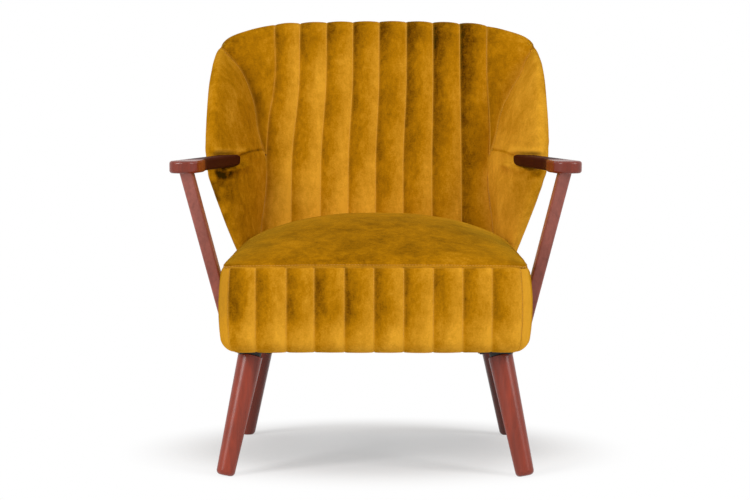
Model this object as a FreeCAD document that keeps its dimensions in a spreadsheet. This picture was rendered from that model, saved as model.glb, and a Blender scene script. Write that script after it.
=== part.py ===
"""Upholstered cocktail armchair with wooden arms: a parametric FreeCAD document, one object per piece.

Frame: +Z up, the chair faces -Y, the origin is on the floor under the middle of the chair. Millimetres.
Left pieces lie at -X. Each right piece mirrors its left one in the YZ plane.
"""
import FreeCAD, Part
import math
import os
import re

import Sketcher
from FreeCAD import Placement, Rotation, Vector

SIZES = [
    # The whole chair
    ("overall_height", 837, "floor to the crest of the back"),
    ("back_width", 654, "widest part of the back, across the wings"),
    ("seat_width", 552, "across the upholstered seat"),
    ("seat_length", 500, "front of the seat to the back frame"),
    ("seat_base_height", 220, "floor to the underside of the seat"),
    ("seat_edge_height", 374, "floor to the seam along the front edge of the seat"),
    ("seat_crown_height", 452, "floor to the crown of the seat"),
    # Upholstery
    ("cover_thickness", 3, "velvet on its wadding"),
    ("soft_gap", 0.3, "clearance between the two upholstered units"),
    ("pocket_gap", 0.5, "clearance round the arm where it enters the wing"),
    ("side_padding", 24, "cover to the side rail"),
    ("front_padding", 34, "cover to the front rail"),
    ("wing_seam_inset", 54, "side of the seat to the seam of the wing"),
    ("inside_hollow", 16, "depth of the curve across the inside back"),
    ("seat_back_gap", 8, "back frame plane to the inside back at seat height"),
    ("recline", 14.3, "lean of the inside back, degrees"),
    ("wing_reach", 112, "inside back to the root of the wing's rounded edge"),
    ("wing_edge_width", 32, "width of the wing's rounded front edge"),
    ("back_base_thickness", 68, "thickness of the back at its foot"),
    ("back_top_thickness", 85, "thickness of the back below its crest"),
    ("dust_cover_thickness", 1, "cloth under the seat"),
    # Seat frame
    ("rail_thickness", 25, "seat and back rails"),
    ("rail_height", 80, "seat rails"),
    ("corner_block_leg", 95, "short side of a triangular corner block"),
    ("spring_wire", 4, "diameter of the spring wire"),
    ("spring_width", 46, "across one zigzag spring"),
    ("spring_pitch", 25, "from one turn of a spring to the next"),
    ("deck_thickness", 5, "felt deck on the springs"),
    # Back frame
    ("upright_thickness", 35, "across the chair"),
    ("upright_foot_depth", 42, "front to back at the foot"),
    ("upright_bend_height", 330, "floor to the bend of the upright"),
    ("upright_lean", 16.2, "lean above the bend, degrees"),
    ("frame_top_drop", 40, "crest of the back to the top of the frame"),
    ("back_board_thickness", 3, "hardboard behind the back frame"),
    ("strap_width", 50, "elastic back strap"),
    ("strap_thickness", 1.5, "elastic back strap"),
    ("wing_board_thickness", 12, "plywood former inside the wing"),
    # Arms
    ("arm_thickness", 22, "board of the armrest"),
    ("arm_tail_width", 34, "narrow rear part of the armrest"),
    ("arm_paddle_width", 53, "wide front part of the armrest"),
    ("arm_front_height", 556.5, "floor to the armrest's top above the post"),
    ("arm_front_offset", 108, "front of the seat back to the post's top"),
    ("arm_spread", 346, "middle of the chair to the tail's centreline at the post"),
    ("arm_tail_inset", 6.8, "outer face of the upright to the tail's centreline at its end"),
    ("arm_pitch", 1.6, "rise of the armrest towards the back, degrees"),
    ("arm_edge_radius", 5, "rounding of the armrest's edges"),
    ("post_width", 22, "arm post, across the chair"),
    ("post_depth", 38, "arm post, seen from the side"),
    ("post_run", 179, "how far the post's foot lies behind its top"),
    ("post_foot_height", 262, "floor to the lower bolt group of the post"),
    ("post_edge_radius", 3, "rounding of the post's edges"),
    ("post_seat_gap", 1, "cover of the seat to the flat on the post"),
    # Legs
    ("leg_top_diameter", 44, "at the mounting plate"),
    ("leg_foot_diameter", 33, "at the floor"),
    ("leg_foot_radius", 8, "rounding of the foot's edge"),
    ("leg_foot_flat", 1.6, "depth sanded off where the foot stands"),
    ("leg_splay", 11.5, "sideways lean of every leg, degrees"),
    ("front_leg_rake", 12, "forward lean of the front legs, degrees"),
    ("rear_leg_rake", 20, "backward lean of the rear legs, degrees"),
    ("leg_side_inset", 53, "side of the seat to the top of a leg"),
    ("front_leg_inset", 75, "front of the seat to the top of a front leg"),
    ("rear_leg_inset", 30, "back frame plane to the top of a rear leg"),
    ("plate_side", 62, "square leg plate"),
    ("plate_thickness", 3, "leg plate"),
    ("plate_inset", 10, "leg to the middle of its plate, across the chair"),
    ("plate_boss_diameter", 38, "angled boss under the leg plate"),
    # Fasteners
    ("leg_bolt_diameter", 8, "hanger bolt"),
    ("leg_bolt_depth", 38, "hanger bolt inside the leg"),
    ("leg_bolt_rise", 24, "hanger bolt above the leg"),
    ("bolt_diameter", 6, "frame and arm bolts"),
    ("bolt_head_diameter", 11, "frame and arm bolts"),
    ("bolt_head_height", 4, "frame and arm bolts"),
    ("bolt_clearance", 0.25, "radial gap of a bolt in its hole"),
    ("insert_diameter", 10, "threaded insert in the wood"),
    ("insert_length", 13, "threaded insert in the wood"),
    ("spacer_diameter", 20, "wooden spacer between rail and post"),
    ("dowel_diameter", 10, "arm post dowel"),
    ("dowel_in_arm", 12, "length of the dowel inside the armrest"),
    ("dowel_in_post", 28, "length of the dowel inside the post"),
    ("screw_diameter", 4, "plate screws"),
    ("screw_head_diameter", 8, "plate screws"),
    ("screw_length", 20, "plate screws"),
]

doc = FreeCAD.newDocument("Armchair")
sheet = doc.addObject("Spreadsheet::Sheet", "Sizes")
for row, (alias, number, note) in enumerate(SIZES, start=1):
    sheet.set(f"A{row}", alias)
    sheet.set(f"B{row}", str(number))
    sheet.set(f"C{row}", note)
    sheet.setAlias(f"B{row}", alias)
doc.recompute()
ALIASES = {alias for alias, number, note in SIZES}
FAR = 1000  # reach of a cutting tool past anything it cuts


# ---------------------------------------------------------------- places, worked out from the sizes
# how far the inside back leans from the crown of the seat to the crest, and the rear edge of the crest
CREST_RUN = "(tan(recline) * (overall_height - 27 - seat_crown_height))"
REAR_Y = f"((seat_length + seat_back_gap + {CREST_RUN} + back_top_thickness) / 2)"
FRONT_Y = f"(-{REAR_Y})"
FRAME_Y = f"({FRONT_Y} + seat_length)"  # plane where the seat frame meets the back frame
RAIL_BOTTOM = "(seat_base_height + cover_thickness)"
RAIL_TOP = f"({RAIL_BOTTOM} + rail_height)"
RAIL_X = "(seat_width / 2 - side_padding)"
RAIL_Y = f"({FRONT_Y} + front_padding)"
DECK_BOTTOM = f"({RAIL_TOP} + 2 * spring_wire)"
DECK_TOP = f"({DECK_BOTTOM} + deck_thickness)"
INSIDE_X = "(seat_width / 2 - wing_seam_inset)"  # middle of the back to the seam of the wing
FRAME_TOP = "(overall_height - frame_top_drop)"
REAR_LOW_Y = f"({FRAME_Y} + back_base_thickness)"
REAR_SLOPE = f"(({REAR_Y} - {REAR_LOW_Y}) / (overall_height - 27 - seat_base_height))"
PLATE_BOTTOM = "(seat_base_height - dust_cover_thickness - plate_thickness)"
POST_FLAT_X = "(seat_width / 2 + post_seat_gap)"


def upright_front(height):
    """Y of the uprights' front face at a height above the bend."""
    return f"({FRAME_Y} + tan(upright_lean) * ({height} - upright_bend_height))"


def upright_rear(height):
    """Y of the uprights' rear face, which follows the outside back in one straight line."""
    low = f"({FRAME_Y} + upright_foot_depth)"
    return f"({low} + ({REAR_SLOPE} + 0.023) * ({height} - {RAIL_BOTTOM}))"


def bound(expression):
    """The expression with each size written as a cell of the sheet."""
    return re.sub(r"[a-z_]{3,}", lambda m: f"Sizes.{m[0]}" if m[0] in ALIASES else m[0], str(expression))


def value(expression):
    """The number that an expression of sizes comes to."""
    return float(sheet.evalExpression(bound(expression)))


def bind(item, **properties):
    """Ties properties of a document object to the sheet; Base_x stands for Placement.Base.x."""
    for name, expression in properties.items():
        path = name.replace("Base_", "Placement.Base.")
        item.setExpression(path, bound(expression))
    return item


# ---------------------------------------------------------------- sketches and solids
PLANES = {
    "XY": Rotation(),
    "XZ": Rotation(Vector(1, 0, 0), 90),
    "YZ": Rotation(Vector(1, 1, 1), 120),
}


def draw(sketch, outline):
    """Draws a closed outline of points (x, y); (x, y, "via") bends the side it lies on into an arc."""
    points = [Vector(value(p[0]), value(p[1]), 0) for p in outline]
    corners = [k for k, p in enumerate(outline) if len(p) == 2]
    ends = []
    for k, start in enumerate(corners):
        stop = corners[(k + 1) % len(corners)]
        between = (start + 1) % len(outline)
        if between == stop:
            side = sketch.addGeometry(Part.LineSegment(points[start], points[stop]), False)
            ends.append((side, 1, 2))
            continue
        a, b, c = points[start], points[between], points[stop]
        forward = (b - a).cross(c - b).z > 0
        side = sketch.addGeometry(Part.Arc(a, b, c) if forward else Part.Arc(c, b, a), False)
        ends.append((side, 1, 2) if forward else (side, 2, 1))
        peg = sketch.addGeometry(Part.Point(points[between]), True)
        sketch.addConstraint(Sketcher.Constraint("PointOnObject", peg, 1, side))
        pin(sketch, peg, 1, outline[between])
    for k, (side, first, last) in enumerate(ends):
        before, _, before_last = ends[k - 1]
        sketch.addConstraint(Sketcher.Constraint("Coincident", before, before_last, side, first))
        pin(sketch, side, first, outline[corners[k]])
    return sketch


def pin(sketch, item, end, point):
    """Holds one end of a sketch element at a point given by two expressions."""
    for kind, expression in zip(("DistanceX", "DistanceY"), point):
        number = sketch.addConstraint(Sketcher.Constraint(kind, -1, 1, item, end, value(expression)))
        sketch.setExpression(f"Constraints[{number}]", bound(expression))


def prism(name, plane, outline, low, high, slope=0):
    """Extrudes an outline from low to high along the plane's normal; slope leans an XY prism towards +Y."""
    sketch = doc.addObject("Sketcher::SketchObject", name + "_sketch")
    draw(sketch, outline)
    sketch.Placement = Placement(Vector(), PLANES[plane])
    solid = doc.addObject("Part::Extrusion", name)
    solid.Base = sketch
    solid.DirMode = "Custom"
    solid.Solid = True
    lean = math.hypot(1, value(slope)) if plane == "XY" else 1
    solid.Dir = {"XY": Vector(0, value(slope), 1), "XZ": Vector(0, 1, 0), "YZ": Vector(1, 0, 0)}[plane]
    bind(solid, LengthFwd=f"({high}) * {lean}", LengthRev=f"-({low}) * {lean}")
    return solid


def box(name, x, y, z):
    """A box between two values on each axis, all of them expressions."""
    solid = doc.addObject("Part::Box", name)
    bind(solid, Length=f"{x[1]} - ({x[0]})", Width=f"{y[1]} - ({y[0]})", Height=f"{z[1]} - ({z[0]})")
    return bind(solid, Base_x=x[0], Base_y=y[0], Base_z=z[0])


def cylinder(name, diameter, length, start, direction):
    """A round bar from a start point along a direction."""
    solid = doc.addObject("Part::Cylinder", name)
    bind(solid, Radius=f"({diameter}) / 2", Height=length)
    solid.Placement = Placement(start, Rotation(Vector(0, 0, 1), direction))
    return solid


def cut(name, base, tools):
    """base minus one tool, or minus several, one after another."""
    tools = tools if isinstance(tools, list) else [tools]
    for k, tool in enumerate(tools, start=1):
        solid = doc.addObject("Part::Cut", name if k == len(tools) else f"{name}_{k}")
        solid.Base, solid.Tool = base, tool
        base = solid
    return base


def common(name, base, tools):
    """What base has in common with one or more tools."""
    solid = doc.addObject("Part::MultiCommon", name)
    solid.Shapes = [base, *(tools if isinstance(tools, list) else [tools])]
    return solid


def fuse(name, shapes):
    solid = doc.addObject("Part::MultiFuse", name)
    solid.Shapes = shapes
    return solid


def mirror(name, source):
    """The right-hand twin of a left piece."""
    twin = doc.addObject("Part::Mirroring", name)
    twin.Source = source
    twin.Normal = Vector(1, 0, 0)
    return twin


def group(name, items):
    """Several separate solids in one node."""
    node = doc.addObject("Part::Compound", name)
    node.Links = items
    return node


def both_sides(name, lefts):
    """Left pieces and their mirrored twins as one node."""
    return group(name, lefts + [mirror(f"{item.Name}_twin", item) for item in lefts])


nodes = []


def keep(label, item):
    """Names a finished piece: its label is its file's name."""
    item.Label = label
    nodes.append(item)
    return item


def keep_pair(label, left):
    """Keeps a left piece and its mirrored right one."""
    keep(f"{label}_left", left)
    keep(f"{label}_right", mirror(f"{label}_mirrored", left))
    return left


# ---------------------------------------------------------------- outer shapes of the upholstery
def seat_block(name, inset):
    """The seat's upholstered block, taken in by inset on every side but its open rear."""
    side, front = f"(seat_width / 2 - {inset})", f"({FRONT_Y} + {inset})"
    base = f"(seat_base_height + {inset})"
    edge, crown = f"(seat_edge_height - {inset})", f"(seat_crown_height - {inset})"
    middle = f"(({base} + {edge}) / 2)"

    def flank(s):
        return [
            (f"{s} * ({side} - 40)", base), (f"{s} * ({side} - 21)", f"{base} + 8", "via"),
            (f"{s} * ({side} - 12)", f"{base} + 28"), (f"{s} * {side}", middle, "via"),
            (f"{s} * ({side} - 5)", f"{edge} - 10"), (f"{s} * ({side} - 9)", f"{edge} + 1", "via"),
            (f"{s} * ({side} - 18)", f"{edge} + 9"),
        ]

    across = prism(name + "_across", "XZ", flank(1) + [("0", crown, "via")] + flank(-1)[::-1], -FAR, FAR)
    along = prism(name + "_along", "YZ", [
        (f"{front} + 40", base), (f"{FRAME_Y}", base), (FRAME_Y, f"{crown} - 12"),
        (f"{front} + 302", crown, "via"), (f"{front} + 14", f"{edge} + 8"),
        (f"{front} + 6", f"{edge} + 1", "via"), (f"{front} + 3", f"{edge} - 10"),
        (front, middle, "via"), (f"{front} + 10", f"{base} + 28"), (f"{front} + 20", f"{base} + 8", "via"),
    ], -FAR, FAR)
    plan = prism(name + "_plan", "XY", [
        (f"-({side} - 34)", front), (f"{side} - 34", front), (f"{side} - 10", f"{front} + 10", "via"),
        (side, f"{front} + 34"), (side, f"{FRAME_Y} + soft_gap"), (f"-{side}", f"{FRAME_Y} + soft_gap"),
        (f"-{side}", f"{front} + 34"), (f"-({side} - 10)", f"{front} + 10", "via"),
    ], 0, FAR)
    return common(name, across, [along, plan])


def back_block(name, inset):
    """The back with its wings, taken in by inset on every side but where it meets the seat."""
    wing, seat_side = f"(back_width / 2 - {inset})", f"(seat_width / 2 - {inset})"
    base, top = f"(seat_base_height + {inset})", f"(overall_height - {inset})"
    face = f"({FRAME_Y} + seat_back_gap + {inset} - tan(recline) * seat_crown_height)"
    seam, root = f"({face} - inside_hollow)", f"({face} - inside_hollow - wing_reach)"
    nose_x = f"(back_width / 2 - wing_edge_width + {inset})"

    inside = prism(name + "_inside", "XY", [
        (f"2 - {INSIDE_X}", seam), ("0", face, "via"), (f"{INSIDE_X} - 2", seam),
        (nose_x, root), (f"({nose_x} + {wing}) / 2", f"{root} - 24", "via"), (f"{wing} + 2", root),
        (f"{wing} + 4", f"{root} + 600"), (f"-({wing} + 4)", f"{root} + 600"), (f"-({wing} + 2)", root),
        (f"-({nose_x} + {wing}) / 2", f"{root} - 24", "via"), (f"-{nose_x}", root),
    ], 0, FAR, "tan(recline)")

    rear = f"({REAR_LOW_Y} - {inset} - {REAR_SLOPE} * seat_base_height)"
    outside = prism(name + "_outside", "XY", [
        (f"-({wing} - 75)", rear), (f"-({wing} - 26)", f"{rear} - 14", "via"),
        (f"-({wing} - 6)", f"{rear} - 60"), (f"-({wing} + 3)", f"{rear} - 400"),
        (f"{wing} + 3", f"{rear} - 400"), (f"{wing} - 6", f"{rear} - 60"),
        (f"{wing} - 26", f"{rear} - 14", "via"), (f"{wing} - 75", rear),
    ], 0, FAR, REAR_SLOPE)

    def edge(s):
        return [
            (f"{s} * ({seat_side} - 34)", base), (f"{s} * ({seat_side} - 20)", f"{base} + 6", "via"),
            (f"{s} * ({seat_side} - 12)", f"{base} + 24"),
            (f"{s} * ({seat_side} - 3)", "seat_edge_height + 18"),
            (f"{s} * ({wing} - 5)", "arm_front_height - 26"),
            (f"{s} * {wing}", "arm_front_height + 40", "via"),
            (f"{s} * ({wing} - 6)", f"{top} - 86"), (f"{s} * ({wing} - 20)", f"{top} - 56", "via"),
            (f"{s} * ({wing} - 48)", f"{top} - 37"), (f"{s} * ({wing} - 82)", f"{top} - 18", "via"),
            (f"{s} * ({wing} - 121)", f"{top} - 5"),
        ]

    outline = prism(name + "_outline", "XZ", edge(1) + [("0", top, "via")] + edge(-1)[::-1], -FAR, FAR)
    low_nose = f"({FRAME_Y} - 92 + {inset})"
    profile = prism(name + "_profile", "YZ", [
        (FRAME_Y, base), (FRAME_Y, "seat_edge_height"), (low_nose, "seat_edge_height"),
        (f"{low_nose} - 25", "arm_front_height + 4", "via"), (f"{low_nose} + 85", f"{top} - 77"),
        (f"{low_nose} + 140", f"{top} - 33", "via"), (f"{REAR_Y} - 60 - {inset}", f"{top} + 1"),
        (f"{REAR_Y} - 13 - {inset}", f"{top} - 5", "via"),
        (f"{REAR_Y} + 3 - {inset}", f"{top} - 24"),
        (f"{REAR_Y} + 30", f"{top} - 60"), (f"{REAR_Y} + 30", base),
    ], -FAR, FAR)
    # The seam of the wing moves outwards above the arm; between the two seams only the inside back is left
    clear_face = prism(name + "_clear_face", "XY", [
        (f"-{INSIDE_X}", f"{seam} - 0.5"), ("0", f"{face} - 0.5", "via"), (INSIDE_X, f"{seam} - 0.5"),
        ("back_width / 2 + 20", f"{seam} - 19"), ("back_width / 2 + 20", f"{seam} - 500"),
        ("-(back_width / 2 + 20)", f"{seam} - 500"), ("-(back_width / 2 + 20)", f"{seam} - 19"),
    ], 0, FAR, "tan(recline)")

    def seam_line(s):
        return [
            (f"{s} * ({INSIDE_X} + 2 + {inset})", "arm_front_height + 10"),
            (f"{s} * ({INSIDE_X} + 22 + {inset})", "overall_height - 183", "via"),
            (f"{s} * ({INSIDE_X} + 70 + {inset})", "overall_height - 83"),
            (f"{s} * (back_width / 2 + 13 + {inset})", "overall_height - 31"),
            (f"{s} * (back_width / 2 + 13 + {inset})", "overall_height + 60"),
        ]

    clear_seams = prism(name + "_clear_seams", "XZ", seam_line(1) + seam_line(-1)[::-1], -FAR, FAR)
    whole = common(name + "_whole", inside, [outside, outline, profile])
    return cut(name, whole, [common(name + "_clear", clear_face, clear_seams)])


seat_outer = seat_block("seat_outer", "0")
seat_inner = seat_block("seat_inner", "cover_thickness")
seat_clear = seat_block("seat_clear", "(-soft_gap)")
back_outer = cut("back_outer", back_block("back_outer_block", "0"), seat_clear)
back_inner = cut("back_inner", back_block("back_inner_block", "cover_thickness"), seat_clear)


# ---------------------------------------------------------------- armrests
ARM_RUN = f"({upright_rear('arm_front_height')} - {FRONT_Y} - arm_front_offset)"
TAIL_X = f"({INSIDE_X} + upright_thickness - arm_tail_inset)"
ARM_TOE = math.degrees(math.atan(value(f"(arm_spread - {TAIL_X}) / {ARM_RUN}")))


def arm_placement():
    """Where the armrest's own frame lies: its origin is on the top face, over the post."""
    turn = Rotation(Vector(0, 0, 1), -ARM_TOE) * Rotation(Vector(1, 0, 0), value("arm_pitch"))
    place = [value(p) for p in ("-arm_spread", f"{FRONT_Y} + arm_front_offset", "arm_front_height")]
    return Placement(Vector(*place), turn)


ARM = arm_placement()
TAIL_LENGTH = f"({ARM_RUN} / cos({ARM_TOE:.4f}) - 6)"


def body_sketch(body, name, plane, outline):
    """A sketch on one of a body's own origin planes."""
    sketch = body.newObject("Sketcher::SketchObject", name)
    role = f"{plane}_Plane"
    sketch.AttachmentSupport = [(next(f for f in body.Origin.OriginFeatures if f.Role == role), "")]
    sketch.MapMode = "FlatFace"
    return draw(sketch, outline)


def pad(body, name, sketch, length, middle=False, backwards=False):
    feature = body.newObject("PartDesign::Pad", name)
    feature.Profile = sketch
    feature.Midplane = middle
    feature.Reversed = backwards
    bind(feature, Length=length)
    doc.recompute()
    return feature


def fillet(body, name, base, edges, radius):
    feature = body.newObject("PartDesign::Fillet", name)
    feature.Base = (base, edges)
    bind(feature, Radius=radius)
    doc.recompute()
    return feature


def edges_where(shape, test):
    """Names of the edges whose every sampled point passes a test."""
    found = []
    for k, item in enumerate(shape.Edges, start=1):
        if all(test(p) for p in item.discretize(5)):
            found.append(f"Edge{k}")
    return found


def build_armrest():
    """Board with a round paddle in front and a straight tail that laps against the upright."""
    body = doc.addObject("PartDesign::Body", "armrest_body")
    half = "(arm_tail_width / 2)"
    outer = f"({half} + 1.5)"
    inner = f"(arm_paddle_width - {outer})"
    board = pad(body, "armrest_board", body_sketch(body, "armrest_outline", "XY", [
        (f"-{half}", TAIL_LENGTH), (half, TAIL_LENGTH), (half, "116"), (f"{half} + 4", "82", "via"),
        (f"{inner} - 7", "52"), (f"{inner} - 1.5", "28", "via"), (inner, "0"), (inner, "-16"),
        (f"{inner} - 7", "-33", "via"), (f"{inner} - 24", "-40"), (f"24 - {outer}", "-40"),
        (f"7 - {outer}", "-33", "via"), (f"-{outer}", "-16"), (f"-{outer}", "0"), (f"-{half}", "70"),
    ]), "arm_thickness", backwards=True)
    thick = value("arm_thickness")
    flat = edges_where(board.Shape, lambda p: abs(p.z) < 1e-6 or abs(p.z + thick) < 1e-6)
    fillet(body, "armrest_edges", board, flat, "arm_edge_radius")
    body.Placement = ARM
    return body


arm_body = build_armrest()
lap = box("arm_lap_tool", (f"-({INSIDE_X} + upright_thickness)", 0), (0, FAR), (0, FAR))

# The post: a straight bar that leans back in its own sketch and outwards by its placement
POST_TOP = ARM.multVec(Vector(value("arm_paddle_width - arm_tail_width - 3") / 2, 0, -value("arm_thickness")))
POST_FOOT = Vector(-value(f"{POST_FLAT_X} + post_width / 2 - 4"), POST_TOP.y + value("post_run"),
                   value("post_foot_height"))
POST_LEAN = math.degrees(math.atan2(POST_FOOT.x - POST_TOP.x, POST_TOP.z - POST_FOOT.z))
POST_DROP = math.hypot(POST_FOOT.x - POST_TOP.x, POST_TOP.z - POST_FOOT.z)
POST_AXIS = (POST_FOOT - POST_TOP).normalize()


def build_post():
    """Rectangular bar between the armrest and the seat rail, with a round foot."""
    body = doc.addObject("PartDesign::Body", "post_body")
    rake = math.atan2(value("post_run"), POST_DROP)
    along, across = Vector(math.sin(rake), -math.cos(rake)), Vector(math.cos(rake), math.sin(rake))

    def at(down, side):
        """A point of the side view: how far down the bar, and which share of its half depth aside."""
        return (f"{along.x * down + 0:.6f} + {across.x * side:.6f} * post_depth / 2",
                f"{along.y * down + 0:.6f} + {across.y * side:.6f} * post_depth / 2")

    length = math.hypot(POST_DROP, value("post_run"))
    above, below = -60, length + 12
    tip = at(below + value("post_depth") * 0.42, 0)
    bar = pad(body, "post_bar", body_sketch(body, "post_side", "YZ", [
        at(above, -1), at(above, 1), at(below, 1), (*tip, "via"), at(below, -1),
    ]), "post_width", middle=True)
    reach = value("post_width") / 2
    fillet(body, "post_edges", bar, edges_where(bar.Shape, lambda p: abs(abs(p.x) - reach) < 1e-6),
           "post_edge_radius")
    body.Placement = Placement(POST_TOP, Rotation(Vector(0, 1, 0), -POST_LEAN))
    return body


post_body = build_post()
above_post = doc.addObject("Part::Box", "above_post")
bind(above_post, Length=400, Width=400, Height=200)
above_post.Placement = ARM * Placement(Vector(-200, -200, -value("arm_thickness")), Rotation())
post_flat = box("post_flat_tool", (f"-{POST_FLAT_X}", 0), (-FAR, FAR), (0, FAR))

# Fasteners of the arm, all along X except the dowel
ARM_BOLT_Z = (ARM.multVec(Vector(0, value(TAIL_LENGTH), -value("arm_thickness") / 2))).z
TAIL_BOLT_Y = [value(f"{upright_front('arm_front_height')}") + d for d in (10, 24)]
POST_BOLT_S = [-14, 12]  # along the post from its bolt group's middle


def bolt(name, start, length):
    """A bolt along -X whose head's underside is at the start point."""
    shank = cylinder(name + "_shank", "bolt_diameter", length, start, Vector(-1, 0, 0))
    head = cylinder(name + "_head", "bolt_head_diameter", "bolt_head_height", start, Vector(1, 0, 0))
    return fuse(name, [shank, head])


def bolt_hole(name, start, length):
    return cylinder(name, "bolt_diameter + 2 * bolt_clearance", length, start, Vector(-1, 0, 0))


def insert(name, start):
    """A threaded insert along -X from its mouth, bored through for the bolt."""
    sleeve = cylinder(name + "_sleeve", "insert_diameter", "insert_length", start, Vector(-1, 0, 0))
    return cut(name, sleeve, bolt_hole(name + "_bore", start, "insert_length"))


inner_upright_x, lap_x = -value(INSIDE_X), -value(f"{INSIDE_X} + upright_thickness")
tail_bolts, tail_inserts, tail_holes, tail_sockets = [], [], [], []
for k, y in enumerate(TAIL_BOLT_Y):
    head = Vector(inner_upright_x, y, ARM_BOLT_Z)
    mouth = Vector(lap_x, y, ARM_BOLT_Z)
    tail_bolts.append(bolt(f"tail_bolt_{k}", head, "upright_thickness + insert_length"))
    tail_holes.append(bolt_hole(f"tail_hole_{k}", head, "upright_thickness + 1"))
    tail_inserts.append(insert(f"tail_insert_{k}", mouth))
    tail_sockets.append(cylinder(f"tail_socket_{k}", "insert_diameter", "insert_length", mouth,
                                 Vector(-1, 0, 0)))

rail_inner_x = -value(f"{RAIL_X} - rail_thickness")
post_bolts, post_inserts, post_spacers, post_holes, post_sockets, spacer_holes = [], [], [], [], [], []
for k, s in enumerate(POST_BOLT_S):
    centre = POST_FOOT + POST_AXIS * s
    head = Vector(rail_inner_x, centre.y, centre.z)
    mouth = Vector(-value(POST_FLAT_X), centre.y, centre.z)
    rail_face = Vector(-value(RAIL_X), centre.y, centre.z)
    post_bolts.append(bolt(f"post_bolt_{k}", head, f"{POST_FLAT_X} + insert_length - ({-rail_inner_x})"))
    post_holes.append(bolt_hole(f"post_hole_{k}", head, "rail_thickness + 1"))
    post_inserts.append(insert(f"post_insert_{k}", mouth))
    post_sockets.append(cylinder(f"post_socket_{k}", "insert_diameter", "insert_length", mouth,
                                 Vector(-1, 0, 0)))
    spacer = cylinder(f"spacer_{k}", "spacer_diameter", f"{POST_FLAT_X} - {RAIL_X}", rail_face,
                      Vector(-1, 0, 0))
    post_spacers.append(cut(f"post_spacer_{k}", spacer, bolt_hole(f"spacer_bore_{k}", rail_face, 100)))
    spacer_holes.append(cylinder(f"spacer_hole_{k}", "spacer_diameter + 2 * soft_gap", 100, rail_face,
                                 Vector(-1, 0, 0)))

dowel_start = POST_TOP - POST_AXIS * value("dowel_in_arm")
dowel = cylinder("post_dowel", "dowel_diameter", "dowel_in_arm + dowel_in_post", dowel_start, POST_AXIS)

keep_pair("armrest", cut("armrest_cut", arm_body, [lap, dowel, *tail_sockets]))
keep_pair("arm_post", cut("arm_post_cut", post_body, [above_post, post_flat, dowel, *post_sockets]))
keep("arm_post_dowels", both_sides("post_dowels", [dowel]))
keep("arm_tail_bolts", both_sides("tail_bolts", tail_bolts))
keep("arm_tail_inserts", both_sides("tail_inserts", tail_inserts))
keep("arm_post_bolts", both_sides("post_bolts", post_bolts))
keep("arm_post_inserts", both_sides("post_inserts", post_inserts))
keep("arm_post_spacers", both_sides("post_spacers", post_spacers))

# Room for the tail in everything soft and in the wing's former
tail_pocket = doc.addObject("Part::Box", "tail_pocket")
bind(tail_pocket, Length="arm_tail_width + 2 * pocket_gap", Width=f"{TAIL_LENGTH} - 116 + pocket_gap",
     Height="arm_thickness + 2 * pocket_gap")
tail_pocket.Placement = ARM * Placement(Vector(
    -value("arm_tail_width / 2 + pocket_gap"), 116, -value("arm_thickness + pocket_gap")), Rotation())


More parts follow.
